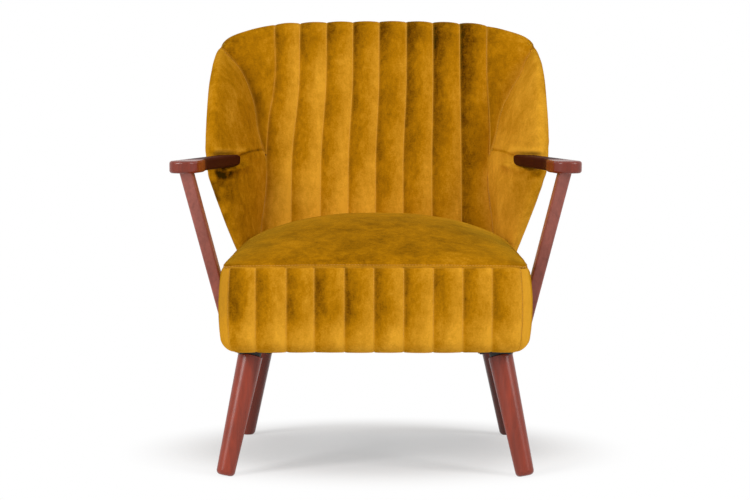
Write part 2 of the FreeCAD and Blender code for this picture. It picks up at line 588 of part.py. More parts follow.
# ---------------------------------------------------------------- legs
def build_leg(name, rake, y, forwards):
    """A turned, tapered leg with its plate, hanger bolt and plate screws, on the left side."""
    lean = math.tan(math.radians(value("leg_splay"))), math.tan(math.radians(value(rake))) * forwards
    axis = Vector(-lean[0], lean[1], -1).normalize()
    tilt = math.acos(-axis.z)
    top_radius, foot_radius = value("leg_top_diameter / 2"), value("leg_foot_diameter / 2")
    top = Vector(-value("seat_width / 2 - leg_side_inset"), value(y),
                 value(PLATE_BOTTOM) - top_radius * math.sin(tilt) - 0.5)
    edge = value("leg_foot_radius")
    end_height = (edge * (1 - math.cos(tilt)) + (foot_radius - edge) * math.sin(tilt)
                  - value("leg_foot_flat"))
    length = (top.z - end_height) / math.cos(tilt)

    body = doc.addObject("PartDesign::Body", name + "_body")
    half = body_sketch(body, name + "_profile", "XZ", [
        ("0", "0"), ("leg_top_diameter / 2 - 1", "0"), ("leg_top_diameter / 2", "-1"),
        (f"leg_foot_diameter / 2 + 0.1", f"leg_foot_radius - {length:.6f}"),
        ("leg_foot_diameter / 2 - leg_foot_radius * (1 - sqrt(0.5))",
         f"leg_foot_radius * (1 - sqrt(0.5)) - {length:.6f}", "via"),
        ("leg_foot_diameter / 2 - leg_foot_radius", f"-{length:.6f}"), ("0", f"-{length:.6f}"),
    ])
    turned = body.newObject("PartDesign::Revolution", name + "_turned")
    turned.Profile = half
    turned.ReferenceAxis = (half, ["V_Axis"])
    turned.Angle = 360
    body.Placement = Placement(top, Rotation(Vector(0, 0, -1), axis))

    floor = box(name + "_floor", (-FAR, FAR), (-FAR, FAR), (-100, 0))
    hanger = cylinder(name + "_hanger", "leg_bolt_diameter", "leg_bolt_depth + leg_bolt_rise",
                      top - axis * value("leg_bolt_rise"), axis)
    leg = cut(name + "_leg", body, [floor, hanger])

    side = "plate_side"
    plate_x, plate_y = top.x + value("plate_inset"), top.y - 4 * forwards
    square = box(name + "_square", (plate_x - value(side) / 2, plate_x + value(side) / 2),
                 (plate_y - value(side) / 2, plate_y + value(side) / 2),
                 (PLATE_BOTTOM, f"{PLATE_BOTTOM} + plate_thickness"))
    boss = cylinder(name + "_boss", "plate_boss_diameter", 20, top, axis * -1)
    above = box(name + "_above", (-FAR, FAR), (-FAR, FAR), (PLATE_BOTTOM, FAR))
    bolt_room = cylinder(name + "_thread", "leg_bolt_diameter", 60, top + axis * 5, axis * -1)
    pressing = fuse(name + "_pressing", [square, cut(name + "_wedge", boss, above)])
    plate = cut(name + "_plate", pressing, bolt_room)
    clear = cylinder(name + "_bolt_room", "leg_bolt_diameter + 2", "leg_bolt_rise + 2", top, axis * -1)
    screws, holes = [], []
    for i in (-1, 1):
        for j in (-1, 1):
            reach = value(side) / 2 - 7
            foot = Vector(plate_x + i * reach, plate_y + j * reach, value(PLATE_BOTTOM))
            tag = f"{name}_screw_{(i + 1) // 2}{(j + 1) // 2}"
            shank = cylinder(tag + "_shank", "screw_diameter", "screw_length", foot, Vector(0, 0, 1))
            head = cylinder(tag + "_head", "screw_head_diameter", 2, foot, Vector(0, 0, -1))
            screws.append(fuse(tag, [shank, head]))
            holes.append(cylinder(tag + "_hole", "screw_diameter", "screw_length", foot, Vector(0, 0, 1)))
    keep_pair(f"leg_{name}", leg)
    return {"plate": cut(name + "_plate_drilled", plate, holes), "hanger": hanger, "screws": screws,
            "holes": holes, "clear": clear}


front_leg = build_leg("front", "front_leg_rake", f"{FRONT_Y} + front_leg_inset", -1)
rear_leg = build_leg("rear", "rear_leg_rake", f"{FRAME_Y} - rear_leg_inset", 1)
keep("leg_plates", both_sides("plates", [front_leg["plate"], rear_leg["plate"]]))
keep("leg_hanger_bolts", both_sides("hangers", [front_leg["hanger"], rear_leg["hanger"]]))
keep("leg_plate_screws", both_sides("plate_screws", front_leg["screws"] + rear_leg["screws"]))
leg_rooms = [front_leg["clear"], rear_leg["clear"], *front_leg["holes"], *rear_leg["holes"]]
leg_rooms = [both_sides("leg_rooms", leg_rooms)]


# ---------------------------------------------------------------- seat frame and springs
rail_z = (RAIL_BOTTOM, RAIL_TOP)
inner_x, inner_front, inner_rear = (f"({RAIL_X} - rail_thickness)", f"({RAIL_Y} + rail_thickness)",
                                    f"({FRAME_Y} - rail_thickness)")
frame_bolt_z = [f"({RAIL_BOTTOM} + rail_height * {share})" for share in (0.28, 0.72)]


def build_frame_bolts():
    """Bolts that hold each upright to the rear rail, along +Y, with their holes."""
    bolts, holes = [], []
    for k, height in enumerate(frame_bolt_z):
        start = Vector(-value(f"({INSIDE_X} + {RAIL_X}) / 2"), value(inner_rear), value(height))
        length = "rail_thickness + upright_foot_depth * 0.8"
        shank = cylinder(f"frame_bolt_shank_{k}", "bolt_diameter", length, start, Vector(0, 1, 0))
        head = cylinder(f"frame_bolt_head_{k}", "bolt_head_diameter", "bolt_head_height", start,
                        Vector(0, -1, 0))
        bolts.append(fuse(f"frame_bolt_{k}", [shank, head]))
        holes.append(cylinder(f"frame_bolt_hole_{k}", "bolt_diameter", length, start, Vector(0, 1, 0)))
        holes.append(cylinder(f"frame_head_room_{k}", "bolt_head_diameter + 1", "bolt_head_height + 1", start,
                              Vector(0, -1, 0)))
    return bolts, holes


frame_bolts, frame_holes = build_frame_bolts()
keep("back_frame_bolts", both_sides("frame_bolts", frame_bolts))
both_frame_holes = both_sides("frame_holes", frame_holes)



def seat_rail(name, x, y, holes):
    """A seat rail whose outer lower edge is rounded off to lie inside the cover."""
    bar = common(name + "_rounded", seat_inner, box(name + "_bar", x, y, rail_z))
    return cut(name, bar, holes)


keep("seat_rail_front", seat_rail("front_rail", (f"-{RAIL_X}", RAIL_X), (RAIL_Y, inner_front), leg_rooms))
keep("seat_rail_rear", seat_rail("rear_rail", (f"-{RAIL_X}", RAIL_X), (inner_rear, FRAME_Y),
                                 [*leg_rooms, both_frame_holes]))
keep_pair("seat_rail", seat_rail("side_rail", (f"-{RAIL_X}", f"-{inner_x}"), (inner_front, inner_rear),
                                 [*leg_rooms, *post_holes, both_frame_holes]))


def corner_block(name, y, forwards):
    """Triangular block glued into a corner of the seat frame, drilled for the leg."""
    block = prism(name, "XY", [
        (f"-{inner_x}", y), (f"-{inner_x} + corner_block_leg", y),
        (f"-{inner_x}", f"{y} - {forwards} * corner_block_leg"),
    ], "seat_base_height", f"{RAIL_BOTTOM} + rail_height - 25")
    return cut(name + "_drilled", block, [*leg_rooms, *post_rooms, both_frame_holes])


post_rooms = [cylinder(f"post_head_room_{k}", "bolt_head_diameter + 1", 30,
                       Vector(rail_inner_x, (POST_FOOT + POST_AXIS * s).y, (POST_FOOT + POST_AXIS * s).z),
                       Vector(1, 0, 0)) for k, s in enumerate(POST_BOLT_S)]
blocks = [corner_block("front_block", inner_front, -1), corner_block("rear_block", inner_rear, 1)]
keep("seat_corner_blocks", both_sides("corner_blocks", blocks))


def build_springs():
    """Zigzag springs from the front rail to the rear rail, and the clips that hold their ends."""
    wire, width, pitch = value("spring_wire"), value("spring_width"), value("spring_pitch")
    start, stop = value(f"{RAIL_Y} + rail_thickness / 2"), value(f"{FRAME_Y} - rail_thickness / 2")
    height = value(f"{RAIL_TOP} + spring_wire")
    turns = int((stop - start) // pitch)
    step = (stop - start) / turns
    places = [value(inner_x) * share for share in (-0.72, -0.36, 0, 0.36, 0.72)]
    springs, clips = [], []
    for place in places:
        edges, side = [], -1
        reach = width / 2 - step / 2
        at = Vector(place, start, height)
        for turn in range(turns):
            out = Vector(place + side * reach, at.y, height)
            back = Vector(out.x, at.y + step, height)
            edges.append(Part.makeLine(at, out))
            bend = Vector(out.x + side * step / 2, out.y + step / 2, height)
            edges.append(Part.Arc(out, bend, back).toShape())
            at, side = back, -side
        edges.append(Part.makeLine(at, Vector(place, at.y, height)))
        path = Part.Wire(edges)
        section = Part.Wire(Part.makeCircle(wire / 2, Vector(place, start, height), Vector(-1, 0, 0)))
        springs.append(path.makePipeShell([section], True, False))
        for y in (start, stop):
            clip = Part.makeBox(14, 16, wire * 2, Vector(place - 7, y - 8, height - wire))
            corner = Vector(place - 20, y - wire / 2 - 0.2, height - wire / 2 - 0.1)
            groove = Part.makeBox(40, wire + 0.4, wire * 2 + 0.2, corner)
            clips.append(clip.cut(groove.common(Part.makeBox(40, 40, wire + 0.2, Vector(
                place - 20, y - 20, height - wire / 2 - 0.1)))))
    return springs, clips


spring_shapes, clip_shapes = build_springs()
for label, shapes in (("seat_springs", spring_shapes), ("seat_spring_clips", clip_shapes)):
    feature = doc.addObject("Part::Feature", label + "_feature")
    feature.Shape = Part.makeCompound(shapes)
    keep(label, feature)

keep("seat_deck", box("deck", (f"-{RAIL_X}", RAIL_X), (RAIL_Y, FRAME_Y), (DECK_BOTTOM, DECK_TOP)))
keep("dust_cover", cut("dust_cover_cut", box(
    "dust_sheet", (f"-({RAIL_X} - 8)", f"{RAIL_X} - 8"), (f"{RAIL_Y} + 8", f"{FRAME_Y} - 3"),
    ("seat_base_height - dust_cover_thickness", "seat_base_height")), leg_rooms))

# ---------------------------------------------------------------- seat padding and cover
core = box("seat_core", (f"-{RAIL_X}", RAIL_X), (RAIL_Y, FAR), (0, DECK_TOP))
above_deck = box("above_deck", (-FAR, FAR), (-FAR, FAR), (DECK_TOP, FAR))
below_deck = box("below_deck", (-FAR, FAR), (-FAR, FAR), (0, DECK_TOP))
front_zone = box("front_zone", (-FAR, FAR), (-FAR, RAIL_Y), (0, DECK_TOP))
side_zone = box("side_zone", (-FAR, f"-{RAIL_X}"), (RAIL_Y, FAR), (0, DECK_TOP))
keep("seat_foam", common("seat_foam_block", seat_inner, above_deck))
keep("seat_pad_front", common("front_pad", seat_inner, front_zone))
keep_pair("seat_pad", cut("side_pad", common("side_pad_block", seat_inner, side_zone), spacer_holes))

turned_y = f"({RAIL_Y} + 22)"
under_opening = box("under_opening", (f"-({RAIL_X} - 22)", f"{RAIL_X} - 22"), (turned_y, FAR),
                    (0, RAIL_BOTTOM))
both_spacers = both_sides("both_spacers", spacer_holes)
seat_skin = cut("seat_skin", seat_outer, [seat_inner, under_opening, *leg_rooms, both_spacers])
seam_x = "(seat_width / 2 - 20)"
above_seam = box("above_seam", (-FAR, FAR), (-FAR, FAR), ("seat_edge_height", FAR))
front_band = fuse("front_band", [
    box("front_band_face", (f"-{seam_x}", seam_x), (-FAR, RAIL_Y), (0, "seat_edge_height")),
    box("front_band_turn", (f"-({RAIL_X} - 22)", f"{RAIL_X} - 22"), (-FAR, turned_y), (0, RAIL_BOTTOM)),
])
side_block = box("side_band_block", (-FAR, 0), (-FAR, FAR), (0, "seat_edge_height"))
side_band = cut("side_band", side_block, front_band)
keep("seat_cover_top", common("cover_top", seat_skin, above_seam))
keep("seat_cover_front", common("cover_front", seat_skin, front_band))
keep_pair("seat_cover", common("cover_side", seat_skin, side_band))


# ---------------------------------------------------------------- back frame
def upright_outline(low, high):
    """Side view of a frame member between two heights, its faces on the uprights' faces."""
    return [(upright_front(low), low), (upright_front(high), high), (upright_rear(high), high),
            (upright_rear(low), low)]


upright_side = [(FRAME_Y, RAIL_BOTTOM), (FRAME_Y, "upright_bend_height"),
                (upright_front(FRAME_TOP), FRAME_TOP), (upright_rear(FRAME_TOP), FRAME_TOP),
                (upright_rear(RAIL_BOTTOM), RAIL_BOTTOM)]
outer_upright_x = f"({INSIDE_X} + upright_thickness)"
upright_bar = prism("upright_bar", "YZ", upright_side, f"-{outer_upright_x}", f"-{INSIDE_X}")
upright = cut("upright", common("upright_rounded", back_inner, upright_bar), [*tail_holes, both_frame_holes])
keep_pair("back_upright", upright)


def cross_rail(label, low, high, thickness="rail_thickness"):
    """A rail between the uprights whose front face is flush with theirs."""
    return keep(label, prism(label, "YZ", [
        (upright_front(low), low), (upright_front(high), high),
        (f"{upright_front(high)} + {thickness}", high), (f"{upright_front(low)} + {thickness}", low),
    ], f"-{INSIDE_X}", INSIDE_X))


cross_rail("back_rail_top", f"({FRAME_TOP} - 60)", FRAME_TOP)
cross_rail("back_rail_arm", "(arm_front_height - 50)", "(arm_front_height - 2)")
cross_rail("back_rail_bottom", "(seat_edge_height + 20)", "(seat_edge_height + 66)")

strap_zone = prism("strap_zone", "YZ", [
    (f"{upright_front('seat_edge_height')} - strap_thickness", "seat_edge_height"),
    (upright_front("seat_edge_height"), "seat_edge_height"), (upright_front(FRAME_TOP), FRAME_TOP),
    (f"{upright_front(FRAME_TOP)} - strap_thickness", FRAME_TOP),
], f"-{outer_upright_x}", outer_upright_x)
STRAPS = 5
strap_bands = []
for k in range(STRAPS):
    share = (k + 0.5) / STRAPS
    middle = f"(seat_edge_height + 30 + ({FRAME_TOP} - seat_edge_height - 60) * {share})"
    strap_bands.append(box(f"strap_band_{k}", (-FAR, FAR), (-FAR, FAR),
                           (f"{middle} - strap_width / 2", f"{middle} + strap_width / 2")))
straps = [common(f"strap_{k}", strap_zone, band) for k, band in enumerate(strap_bands)]
strap_node = keep("back_straps", group("straps", straps))

board_low = f"({RAIL_BOTTOM} + 2)"
board_sheet = prism("board_sheet", "YZ", [
    (upright_rear(board_low), board_low), (upright_rear(FRAME_TOP), FRAME_TOP),
    (f"{upright_rear(FRAME_TOP)} + back_board_thickness", FRAME_TOP),
    (f"{upright_rear(board_low)} + back_board_thickness", board_low),
], f"-{outer_upright_x}", outer_upright_x)
board = keep("back_board", common("board", back_inner, board_sheet))

# Wing former: plywood from the upright's outer face forwards, inside the wing
former_room = back_block("former_room", "14")
former_start = f"({FRAME_Y} + 40 - tan(recline) * seat_crown_height)"
former_reach = f"({INSIDE_X} + upright_thickness)"
former_band = prism("former_band", "XY", [
    (f"-({former_reach} - 20)", f"{former_start} + 66"),
    (f"-({former_reach} - 20) - wing_board_thickness * 1.05", f"{former_start} + 66"),
    (f"-({former_reach} + 46) - wing_board_thickness * 1.05", f"{former_start} - 152"),
    (f"-({former_reach} + 46)", f"{former_start} - 152"),
], "seat_edge_height + 26", "overall_height - 130", "tan(recline)")
inboard = box("inboard_of_lap", (f"-{former_reach}", FAR), (-FAR, FAR), (0, FAR))
former = cut("wing_former", common("former_blank", former_room, former_band), [inboard, tail_pocket])
keep_pair("wing_board", former)


# ---------------------------------------------------------------- back padding and covers
def side_region(name, outline, low=-FAR, high=FAR):
    return prism(name, "YZ", outline, low, high)


inside_low = "(seat_edge_height + 0)"
front_of_frame = side_region("front_of_frame", [
    (-FAR, inside_low), (f"{upright_front(inside_low)} - strap_thickness", inside_low),
    (f"{upright_front(FRAME_TOP)} - strap_thickness", FRAME_TOP), (FAR, FRAME_TOP), (FAR, FAR), (-FAR, FAR),
], f"-{INSIDE_X}", INSIDE_X)
behind_board = side_region("behind_board", [
    (f"{upright_rear(RAIL_BOTTOM)} + back_board_thickness", RAIL_BOTTOM),
    (FAR, RAIL_BOTTOM), (FAR, FRAME_TOP),
    (f"{upright_rear(FRAME_TOP)} + back_board_thickness", FRAME_TOP),
], f"-{INSIDE_X}", INSIDE_X)
wing_zone = box("wing_zone", (-FAR, f"-{INSIDE_X}"), (-FAR, FAR), (0, FAR))
keep("back_foam", common("inside_pad", back_inner, front_of_frame))
keep("back_wadding", common("rear_pad", back_inner, behind_board))
keep_pair("wing_foam", cut("wing_pad", common("wing_pad_block", back_inner, wing_zone),
                           [upright_bar, former, tail_pocket, strap_node, board_sheet]))

front_half = side_region("front_half", [
    (-FAR, inside_low), (f"{FRAME_Y} + 30", inside_low), (f"{REAR_Y} - 6", "overall_height - 33"),
    (FAR, "overall_height - 12"), (FAR, FAR), (-FAR, FAR),
], f"-{INSIDE_X}", INSIDE_X)
rear_half = cut("rear_half", box("middle_zone", (f"-{INSIDE_X}", INSIDE_X), (-FAR, FAR), (0, FAR)),
                front_half)
keep("back_cover_inside", cut("cover_inside", common("inside_whole", back_outer, front_half), back_inner))
keep("back_cover_outside", cut("cover_outside", common("outside_whole", back_outer, rear_half), back_inner))
wing_whole = common("wing_whole", back_outer, wing_zone)
keep_pair("wing_cover", cut("cover_wing", wing_whole, [back_inner, tail_pocket]))


# ---------------------------------------------------------------- build, check and write
doc.recompute()
faults = [item.Label for item in doc.Objects if {"Invalid", "Error"} & set(item.State)]
for item in nodes:
    if item.Shape.isNull() or not item.Shape.Solids or not item.Shape.isValid():
        faults.append(item.Label + " has no valid solid")
if faults:
    raise SystemExit("failed: " + ", ".join(faults))
os.makedirs("parts", exist_ok=True)
for item in nodes:
    item.Shape.exportStep(f"parts/{item.Label}.step")
    print(f"{item.Label:22s} solids {len(item.Shape.Solids):3d}  volume {item.Shape.Volume / 1000:10.1f} cm3")
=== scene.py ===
"""Looks of the velvet armchair: upholstery, finishes, light and camera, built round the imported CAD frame.

The upholstery is worked out in millimetres in the row frame (+X right, the chair faces -Y, +Z up) and
written in metres. Each upholstered unit is a Form, a smooth solid given by a signed distance. Covers are
Panels: grids of points cast on the Form from inside it, raised into channels, drawn down along their seams
and turned in at their edges.
"""
import logging
import math
from collections.abc import Callable, Iterable, Sequence
from dataclasses import dataclass
from enum import Enum

import bpy
import numpy as np
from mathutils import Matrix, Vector, noise


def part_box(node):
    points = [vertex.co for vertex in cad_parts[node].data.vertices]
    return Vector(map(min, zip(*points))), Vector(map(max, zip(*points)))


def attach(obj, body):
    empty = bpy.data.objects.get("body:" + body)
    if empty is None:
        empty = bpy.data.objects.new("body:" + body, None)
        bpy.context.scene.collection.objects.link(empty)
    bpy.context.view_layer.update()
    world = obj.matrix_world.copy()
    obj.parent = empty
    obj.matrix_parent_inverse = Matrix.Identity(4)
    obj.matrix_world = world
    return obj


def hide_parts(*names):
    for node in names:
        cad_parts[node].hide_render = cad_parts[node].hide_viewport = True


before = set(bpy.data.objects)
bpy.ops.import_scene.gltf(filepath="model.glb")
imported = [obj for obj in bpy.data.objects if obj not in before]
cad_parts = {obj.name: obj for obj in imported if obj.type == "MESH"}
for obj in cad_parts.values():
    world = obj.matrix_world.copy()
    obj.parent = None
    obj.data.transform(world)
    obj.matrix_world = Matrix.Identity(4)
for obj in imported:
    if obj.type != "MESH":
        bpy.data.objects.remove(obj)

log = logging.getLogger("armchair")
Array = np.ndarray
Triple = tuple[float, float, float]
Socket, Material, Tree = bpy.types.NodeSocket, bpy.types.Material, bpy.types.NodeTree

MM = 0.001
RECLINE = math.tan(math.radians(14.3))  # lean of the inside back
REAR_LEAN = 0.1966                      # and of the outside back, as a slope
INSET = 34.0                            # how far inside a form the rays start
PER_CHANNEL = 14                        # grid columns in one channel
ARM_X, ARM_TOE = 346.0, 10.7            # the arm at its post: distance from the middle, degrees inwards


# ---- numbers and curves
def ease(t: float | Array) -> Array:
    """A smooth step from 0 to 1.

    Args:
        t: where on the step, any number or array.
    Returns:
        0 below 0, 1 above 1, smooth between.
    """
    t = np.clip(t, 0, 1)
    return t * t * (3 - 2 * t)


def unit(vectors: Array) -> Array:
    """Vectors (..., 3) brought to length 1."""
    return vectors / np.maximum(np.linalg.norm(vectors, axis=-1, keepdims=True), 1e-9)


def waves(points: Array, size: float | Triple, seed: float = 0.0) -> Array:
    """Smooth noise about 0.

    Args:
        points: array (..., 3) in millimetres.
        size: length of a wave in millimetres, one number or three.
        seed: moves the pattern.
    Returns:
        An array of about -1 to 1 for the points.
    """
    flat = (np.asarray(points) / np.asarray(size, float) + seed).reshape(-1, 3)
    return np.array([noise.noise(Vector(p)) for p in flat]).reshape(points.shape[:-1])


def hill(at: Array, width: float, centre: float = 0.0) -> Array:
    """A smooth rise of 1 at its centre that is nearly gone at two widths from it."""
    return np.exp(-((at - centre) / width) ** 2)


def raised(place: Array, z: float) -> Array:
    """Points (..., 2) or directions with one z for all of them."""
    return np.concatenate([place, np.full(place.shape[:-1] + (1,), z)], -1)


def placed(name: str, data: bpy.types.ID) -> bpy.types.Object:
    """A new object in the scene that shows some data."""
    item = bpy.data.objects.new(name, data)
    bpy.context.scene.collection.objects.link(item)
    return item


class Curve:
    """A smooth function through knots that doesn't overshoot them."""

    def __init__(self, *knots: tuple[float, float]) -> None:
        """Works out the slopes.

        Args:
            knots: pairs (at, value), with rising at.
        """
        self.at, self.value = np.array(knots, float).T
        rise = np.diff(self.value) / np.diff(self.at)
        self.slope = np.zeros_like(self.at)
        same = rise[:-1] * rise[1:] > 0
        self.slope[1:-1][same] = (2 * rise[:-1] * rise[1:])[same] / (rise[:-1] + rise[1:])[same]
        self.slope[0], self.slope[-1] = rise[0], rise[-1]

    def __call__(self, at: float | Array) -> Array:
        """The curve's value. Outside its knots it stays at the nearest one."""
        x = np.clip(at, self.at[0], self.at[-1])
        k = np.clip(np.searchsorted(self.at, x, "right") - 1, 0, len(self.at) - 2)
        span = self.at[k + 1] - self.at[k]
        t = (x - self.at[k]) / span
        low, high = self.value[k], self.value[k + 1]
        rise_low, rise_high = self.slope[k] * span, self.slope[k + 1] * span
        return (low * (1 + 2 * t) * (1 - t) ** 2 + rise_low * t * (1 - t) ** 2
                + high * t * t * (3 - 2 * t) + rise_high * t * t * (t - 1))


def rounded(radius: float | Array, *fields: Array) -> Array:
    """What half spaces have in common, with their edges rounded.

    Args:
        radius: of the rounding, a number or an array.
        fields: signed distances, negative inside.
    Returns:
        The signed distance of the rounded shape.
    """
    stack = np.stack(np.broadcast_arrays(*fields))
    over = np.maximum(stack + radius, 0)
    return np.minimum(stack.max(0), -radius) + np.sqrt((over ** 2).sum(0))


class Outline:
    """Signed distance to a closed outline that is the same on both sides of x = 0."""

    STEP = 2.0
    MARGIN = 60

    def __init__(self, half: Sequence[tuple[float, float]]) -> None:
        """Tables the distance round the outline.

        Args:
            half: points (x, z) of the right half, from the bottom middle to the top middle.
        """
        half = np.array(half, float)
        ring = np.vstack([half, half[-2:0:-1] * [-1, 1]])
        for _ in range(2):
            after = np.roll(ring, -1, 0)
            ring = np.stack([ring * 0.75 + after * 0.25, ring * 0.25 + after * 0.75], 1).reshape(-1, 2)
        self.low = np.array([-30.0, half[:, 1].min() - self.MARGIN])
        high = half.max(0) + self.MARGIN
        xs = np.arange(self.low[0], high[0], self.STEP)
        zs = np.arange(self.low[1], high[1], self.STEP)
        grid = np.stack(np.meshgrid(xs, zs, indexing="ij"), -1).reshape(-1, 1, 2)
        a, b = ring[None], np.roll(ring, -1, 0)[None]
        side = b - a
        along = np.clip(((grid - a) * side).sum(-1) / (side ** 2).sum(-1), 0, 1)
        away = np.sqrt((((grid - a) - along[..., None] * side) ** 2).sum(-1)).min(1)
        crosses = (a[..., 1] > grid[..., 1]) != (b[..., 1] > grid[..., 1])
        slope = side[..., 0] / np.where(side[..., 1] == 0, 1e-9, side[..., 1])
        reach = a[..., 0] + (grid[..., 1] - a[..., 1]) * slope
        inside = (crosses & (grid[..., 0] < reach)).sum(1) % 2 == 1
        self.table = np.where(inside, -away, away).reshape(len(xs), len(zs))

    def __call__(self, x: Array, z: Array) -> Array:
        """Signed distance at (x, z), negative inside."""
        p = (np.stack([np.abs(x), np.broadcast_to(z, np.shape(x))], -1) - self.low) / self.STEP
        cell = np.clip(p.astype(int), 0, np.array(self.table.shape) - 2)
        t = p - cell
        i, j = cell[..., 0], cell[..., 1]
        near = self.table[i, j] * (1 - t[..., 0]) + self.table[i + 1, j] * t[..., 0]
        far = self.table[i, j + 1] * (1 - t[..., 0]) + self.table[i + 1, j + 1] * t[..., 0]
        return near * (1 - t[..., 1]) + far * t[..., 1]


# ---- forms
class Form:
    """A smooth solid that covers are laid on."""

    def depth(self, p: Array) -> Array:
        """Signed distance of points (..., 3), negative inside."""
        raise NotImplementedError

    def cast(self, origin: Array, direction: Array | list, reach: float = 150.0) -> Array:
        """Where rays from inside the form leave it.

        Args:
            origin: points (..., 3) inside.
            direction: vectors (..., 3).
            reach: a distance that is always outside.
        Returns:
            Points (..., 3) on the surface.
        """
        origin, direction = np.broadcast_arrays(np.asarray(origin, float), unit(np.asarray(direction, float)))
        low, high = np.zeros(origin.shape[:-1]), np.full(origin.shape[:-1], reach)
        for _ in range(24):
            middle = (low + high) / 2
            inside = self.depth(origin + direction * middle[..., None]) < 0
            low, high = np.where(inside, middle, low), np.where(inside, high, middle)
        return origin + direction * ((low + high) / 2)[..., None]

    def settle(self, p: Array, turns: int = 10) -> Array:
        """Points moved to the nearest place on the surface."""
        for _ in range(turns):
            p = p - self.normal(p) * self.depth(p)[..., None] * 0.9
        return p

    def between(self, first: Array, last: Array, t: Array, bulge: float = 0.12) -> Array:
        """Rows of points on the surface between matching points of two curves.

        Args:
            first, last: arrays (rows, 3) on the surface.
            t: shares from first to last (columns,).
            bulge: how far out the search starts, as a share of the span.
        Returns:
            Points (rows, columns, 3).
        """
        t = np.asarray(t)[None, :, None]
        span = np.linalg.norm(last - first, axis=-1)[:, None, None]
        out = self.normal(first)[:, None] * (1 - t) + self.normal(last)[:, None] * t
        points = first[:, None] * (1 - t) + last[:, None] * t + out * span * bulge * 4 * t * (1 - t)
        points = self.settle(points)
        points[:, 0], points[:, -1] = first, last
        return points

    def normal(self, p: Array, step: float = 1.5) -> Array:
        """Outward directions at points (..., 3)."""
        sides = [self.depth(p + step * axis) - self.depth(p - step * axis) for axis in np.eye(3)]
        return unit(np.stack(sides, -1))


@dataclass
class BackForm(Form):
    """The reclined back with its two forward wings.

    Attributes:
        seat_y, seat_z: where the inside back meets the seat, on the middle plane.
        foot_y, foot_z: lowest edge of the outside back.
        hollow, hollow_at: how far the inside back comes forward, and how far from the middle.
        nose_in: from the wing's outer face to where its inner face turns forward.
        nose_round, rear_round, flank_round, low_round: radii of the edges.
    """
    seat_y: float = 166.0
    seat_z: float = 452.0
    foot_y: float = 226.0
    foot_z: float = 220.0
    hollow: float = 16.0
    hollow_at: float = 222.0
    nose_in: float = 13.0
    nose_round: float = 18.0
    rear_round: float = 24.0
    flank_round: float = 45.0
    low_round: float = 12.0

    def __post_init__(self) -> None:
        """Sets the curves that change with height."""
        self.half_width = Curve(
            (220, 262), (300, 270), (374, 272), (391, 279), (422, 291), (454, 302), (485, 313), (516, 323),
            (532, 327), (578, 331.5), (672, 331.5), (754, 332.5), (772, 330), (789, 323), (807, 299))
        self.nose = Curve((374, 72), (391, 66), (480, 46), (575, 41), (680, 81), (745, 145), (775, 195),
                          (792, 222), (806, 238), (840, 262))
        self.seam_mean = Curve(
            (380, 229), (415, 228), (472, 222), (516, 219.5), (556, 221), (576, 227), (604, 235), (654, 245),
            (696, 261), (729, 278), (754, 292), (770, 305), (786, 318), (800, 332))
        self.outline = Outline([
            (0, 220), (226, 220), (252, 221), (262, 230), (266, 246), (270, 320), (272, 374), (279, 391),
            (285, 407), (291, 422.5), (302, 454), (313, 485), (323, 516), (327.5, 532), (331, 560),
            (331.8, 600), (331.5, 672), (332, 730), (332.3, 756), (330.5, 772), (324, 787.5), (313, 799),
            (298, 807.5), (272, 816.5), (245, 824), (214, 830.5), (150, 834), (80, 835.5), (0, 836)])

    def middle(self, z: Array) -> Array:
        """Y of the inside back on the chair's middle plane."""
        return self.seat_y + RECLINE * (z - self.seat_z)

    def rear(self, z: float | Array) -> Array:
        """Y of the outside back."""
        return self.foot_y + REAR_LEAN * (z - self.foot_z)

    def seam(self, z: float | Array, side: int | Array) -> Array:
        """Distance of the wing's seam from the middle plane, a little greater on the right near the top."""
        return self.seam_mean(z) + side * 8 * ease((z - 620) / 110) * ease((776 - z) / 50)

    def inside(self, x: Array, z: float | Array) -> Array:
        """Y of the inside back and of the wings' inner faces."""
        side, x = np.sign(x), np.abs(x)
        seam = self.seam(z, side)
        at_seam = self.middle(z) - self.hollow * (seam / self.hollow_at) ** 2
        t = np.clip((x - seam) / np.maximum(self.half_width(z) - self.nose_in - seam, 8), 0, 1)
        wing = at_seam + (self.nose(z) - at_seam) * (1 - (1 - t) ** 1.6)
        plain = self.middle(z) - self.hollow * (x / self.hollow_at) ** 2
        return np.where(x > seam, np.minimum(wing, at_seam), plain)

    def depth(self, p: Array) -> Array:
        """Signed distance of points (..., 3): the inside face, the rear face and the outline in common."""
        x, y, z = p[..., 0], p[..., 1], p[..., 2]
        face = self.inside(x, z)
        grade_x = (self.inside(x + 2, z) - self.inside(x - 2, z)) / 4
        grade_z = (self.inside(x, z + 2) - self.inside(x, z - 2)) / 4
        front = (face - y) / np.sqrt(1 + grade_x ** 2 + grade_z ** 2)
        rear = (y - self.rear(z)) * 0.981
        edge = self.outline(np.abs(x) + 0.035 * np.clip(y - 40, 0, 400), z)
        turn = ease((np.abs(x) - 190) / 90) * ease((815 - z) / 60)
        corner = self.rear_round + (self.flank_round - self.rear_round) * turn
        corner = self.low_round + (corner - self.low_round) * ease((z - 225) / 80)
        return np.maximum(rounded(self.nose_round, front, edge), rounded(corner, edge, rear))


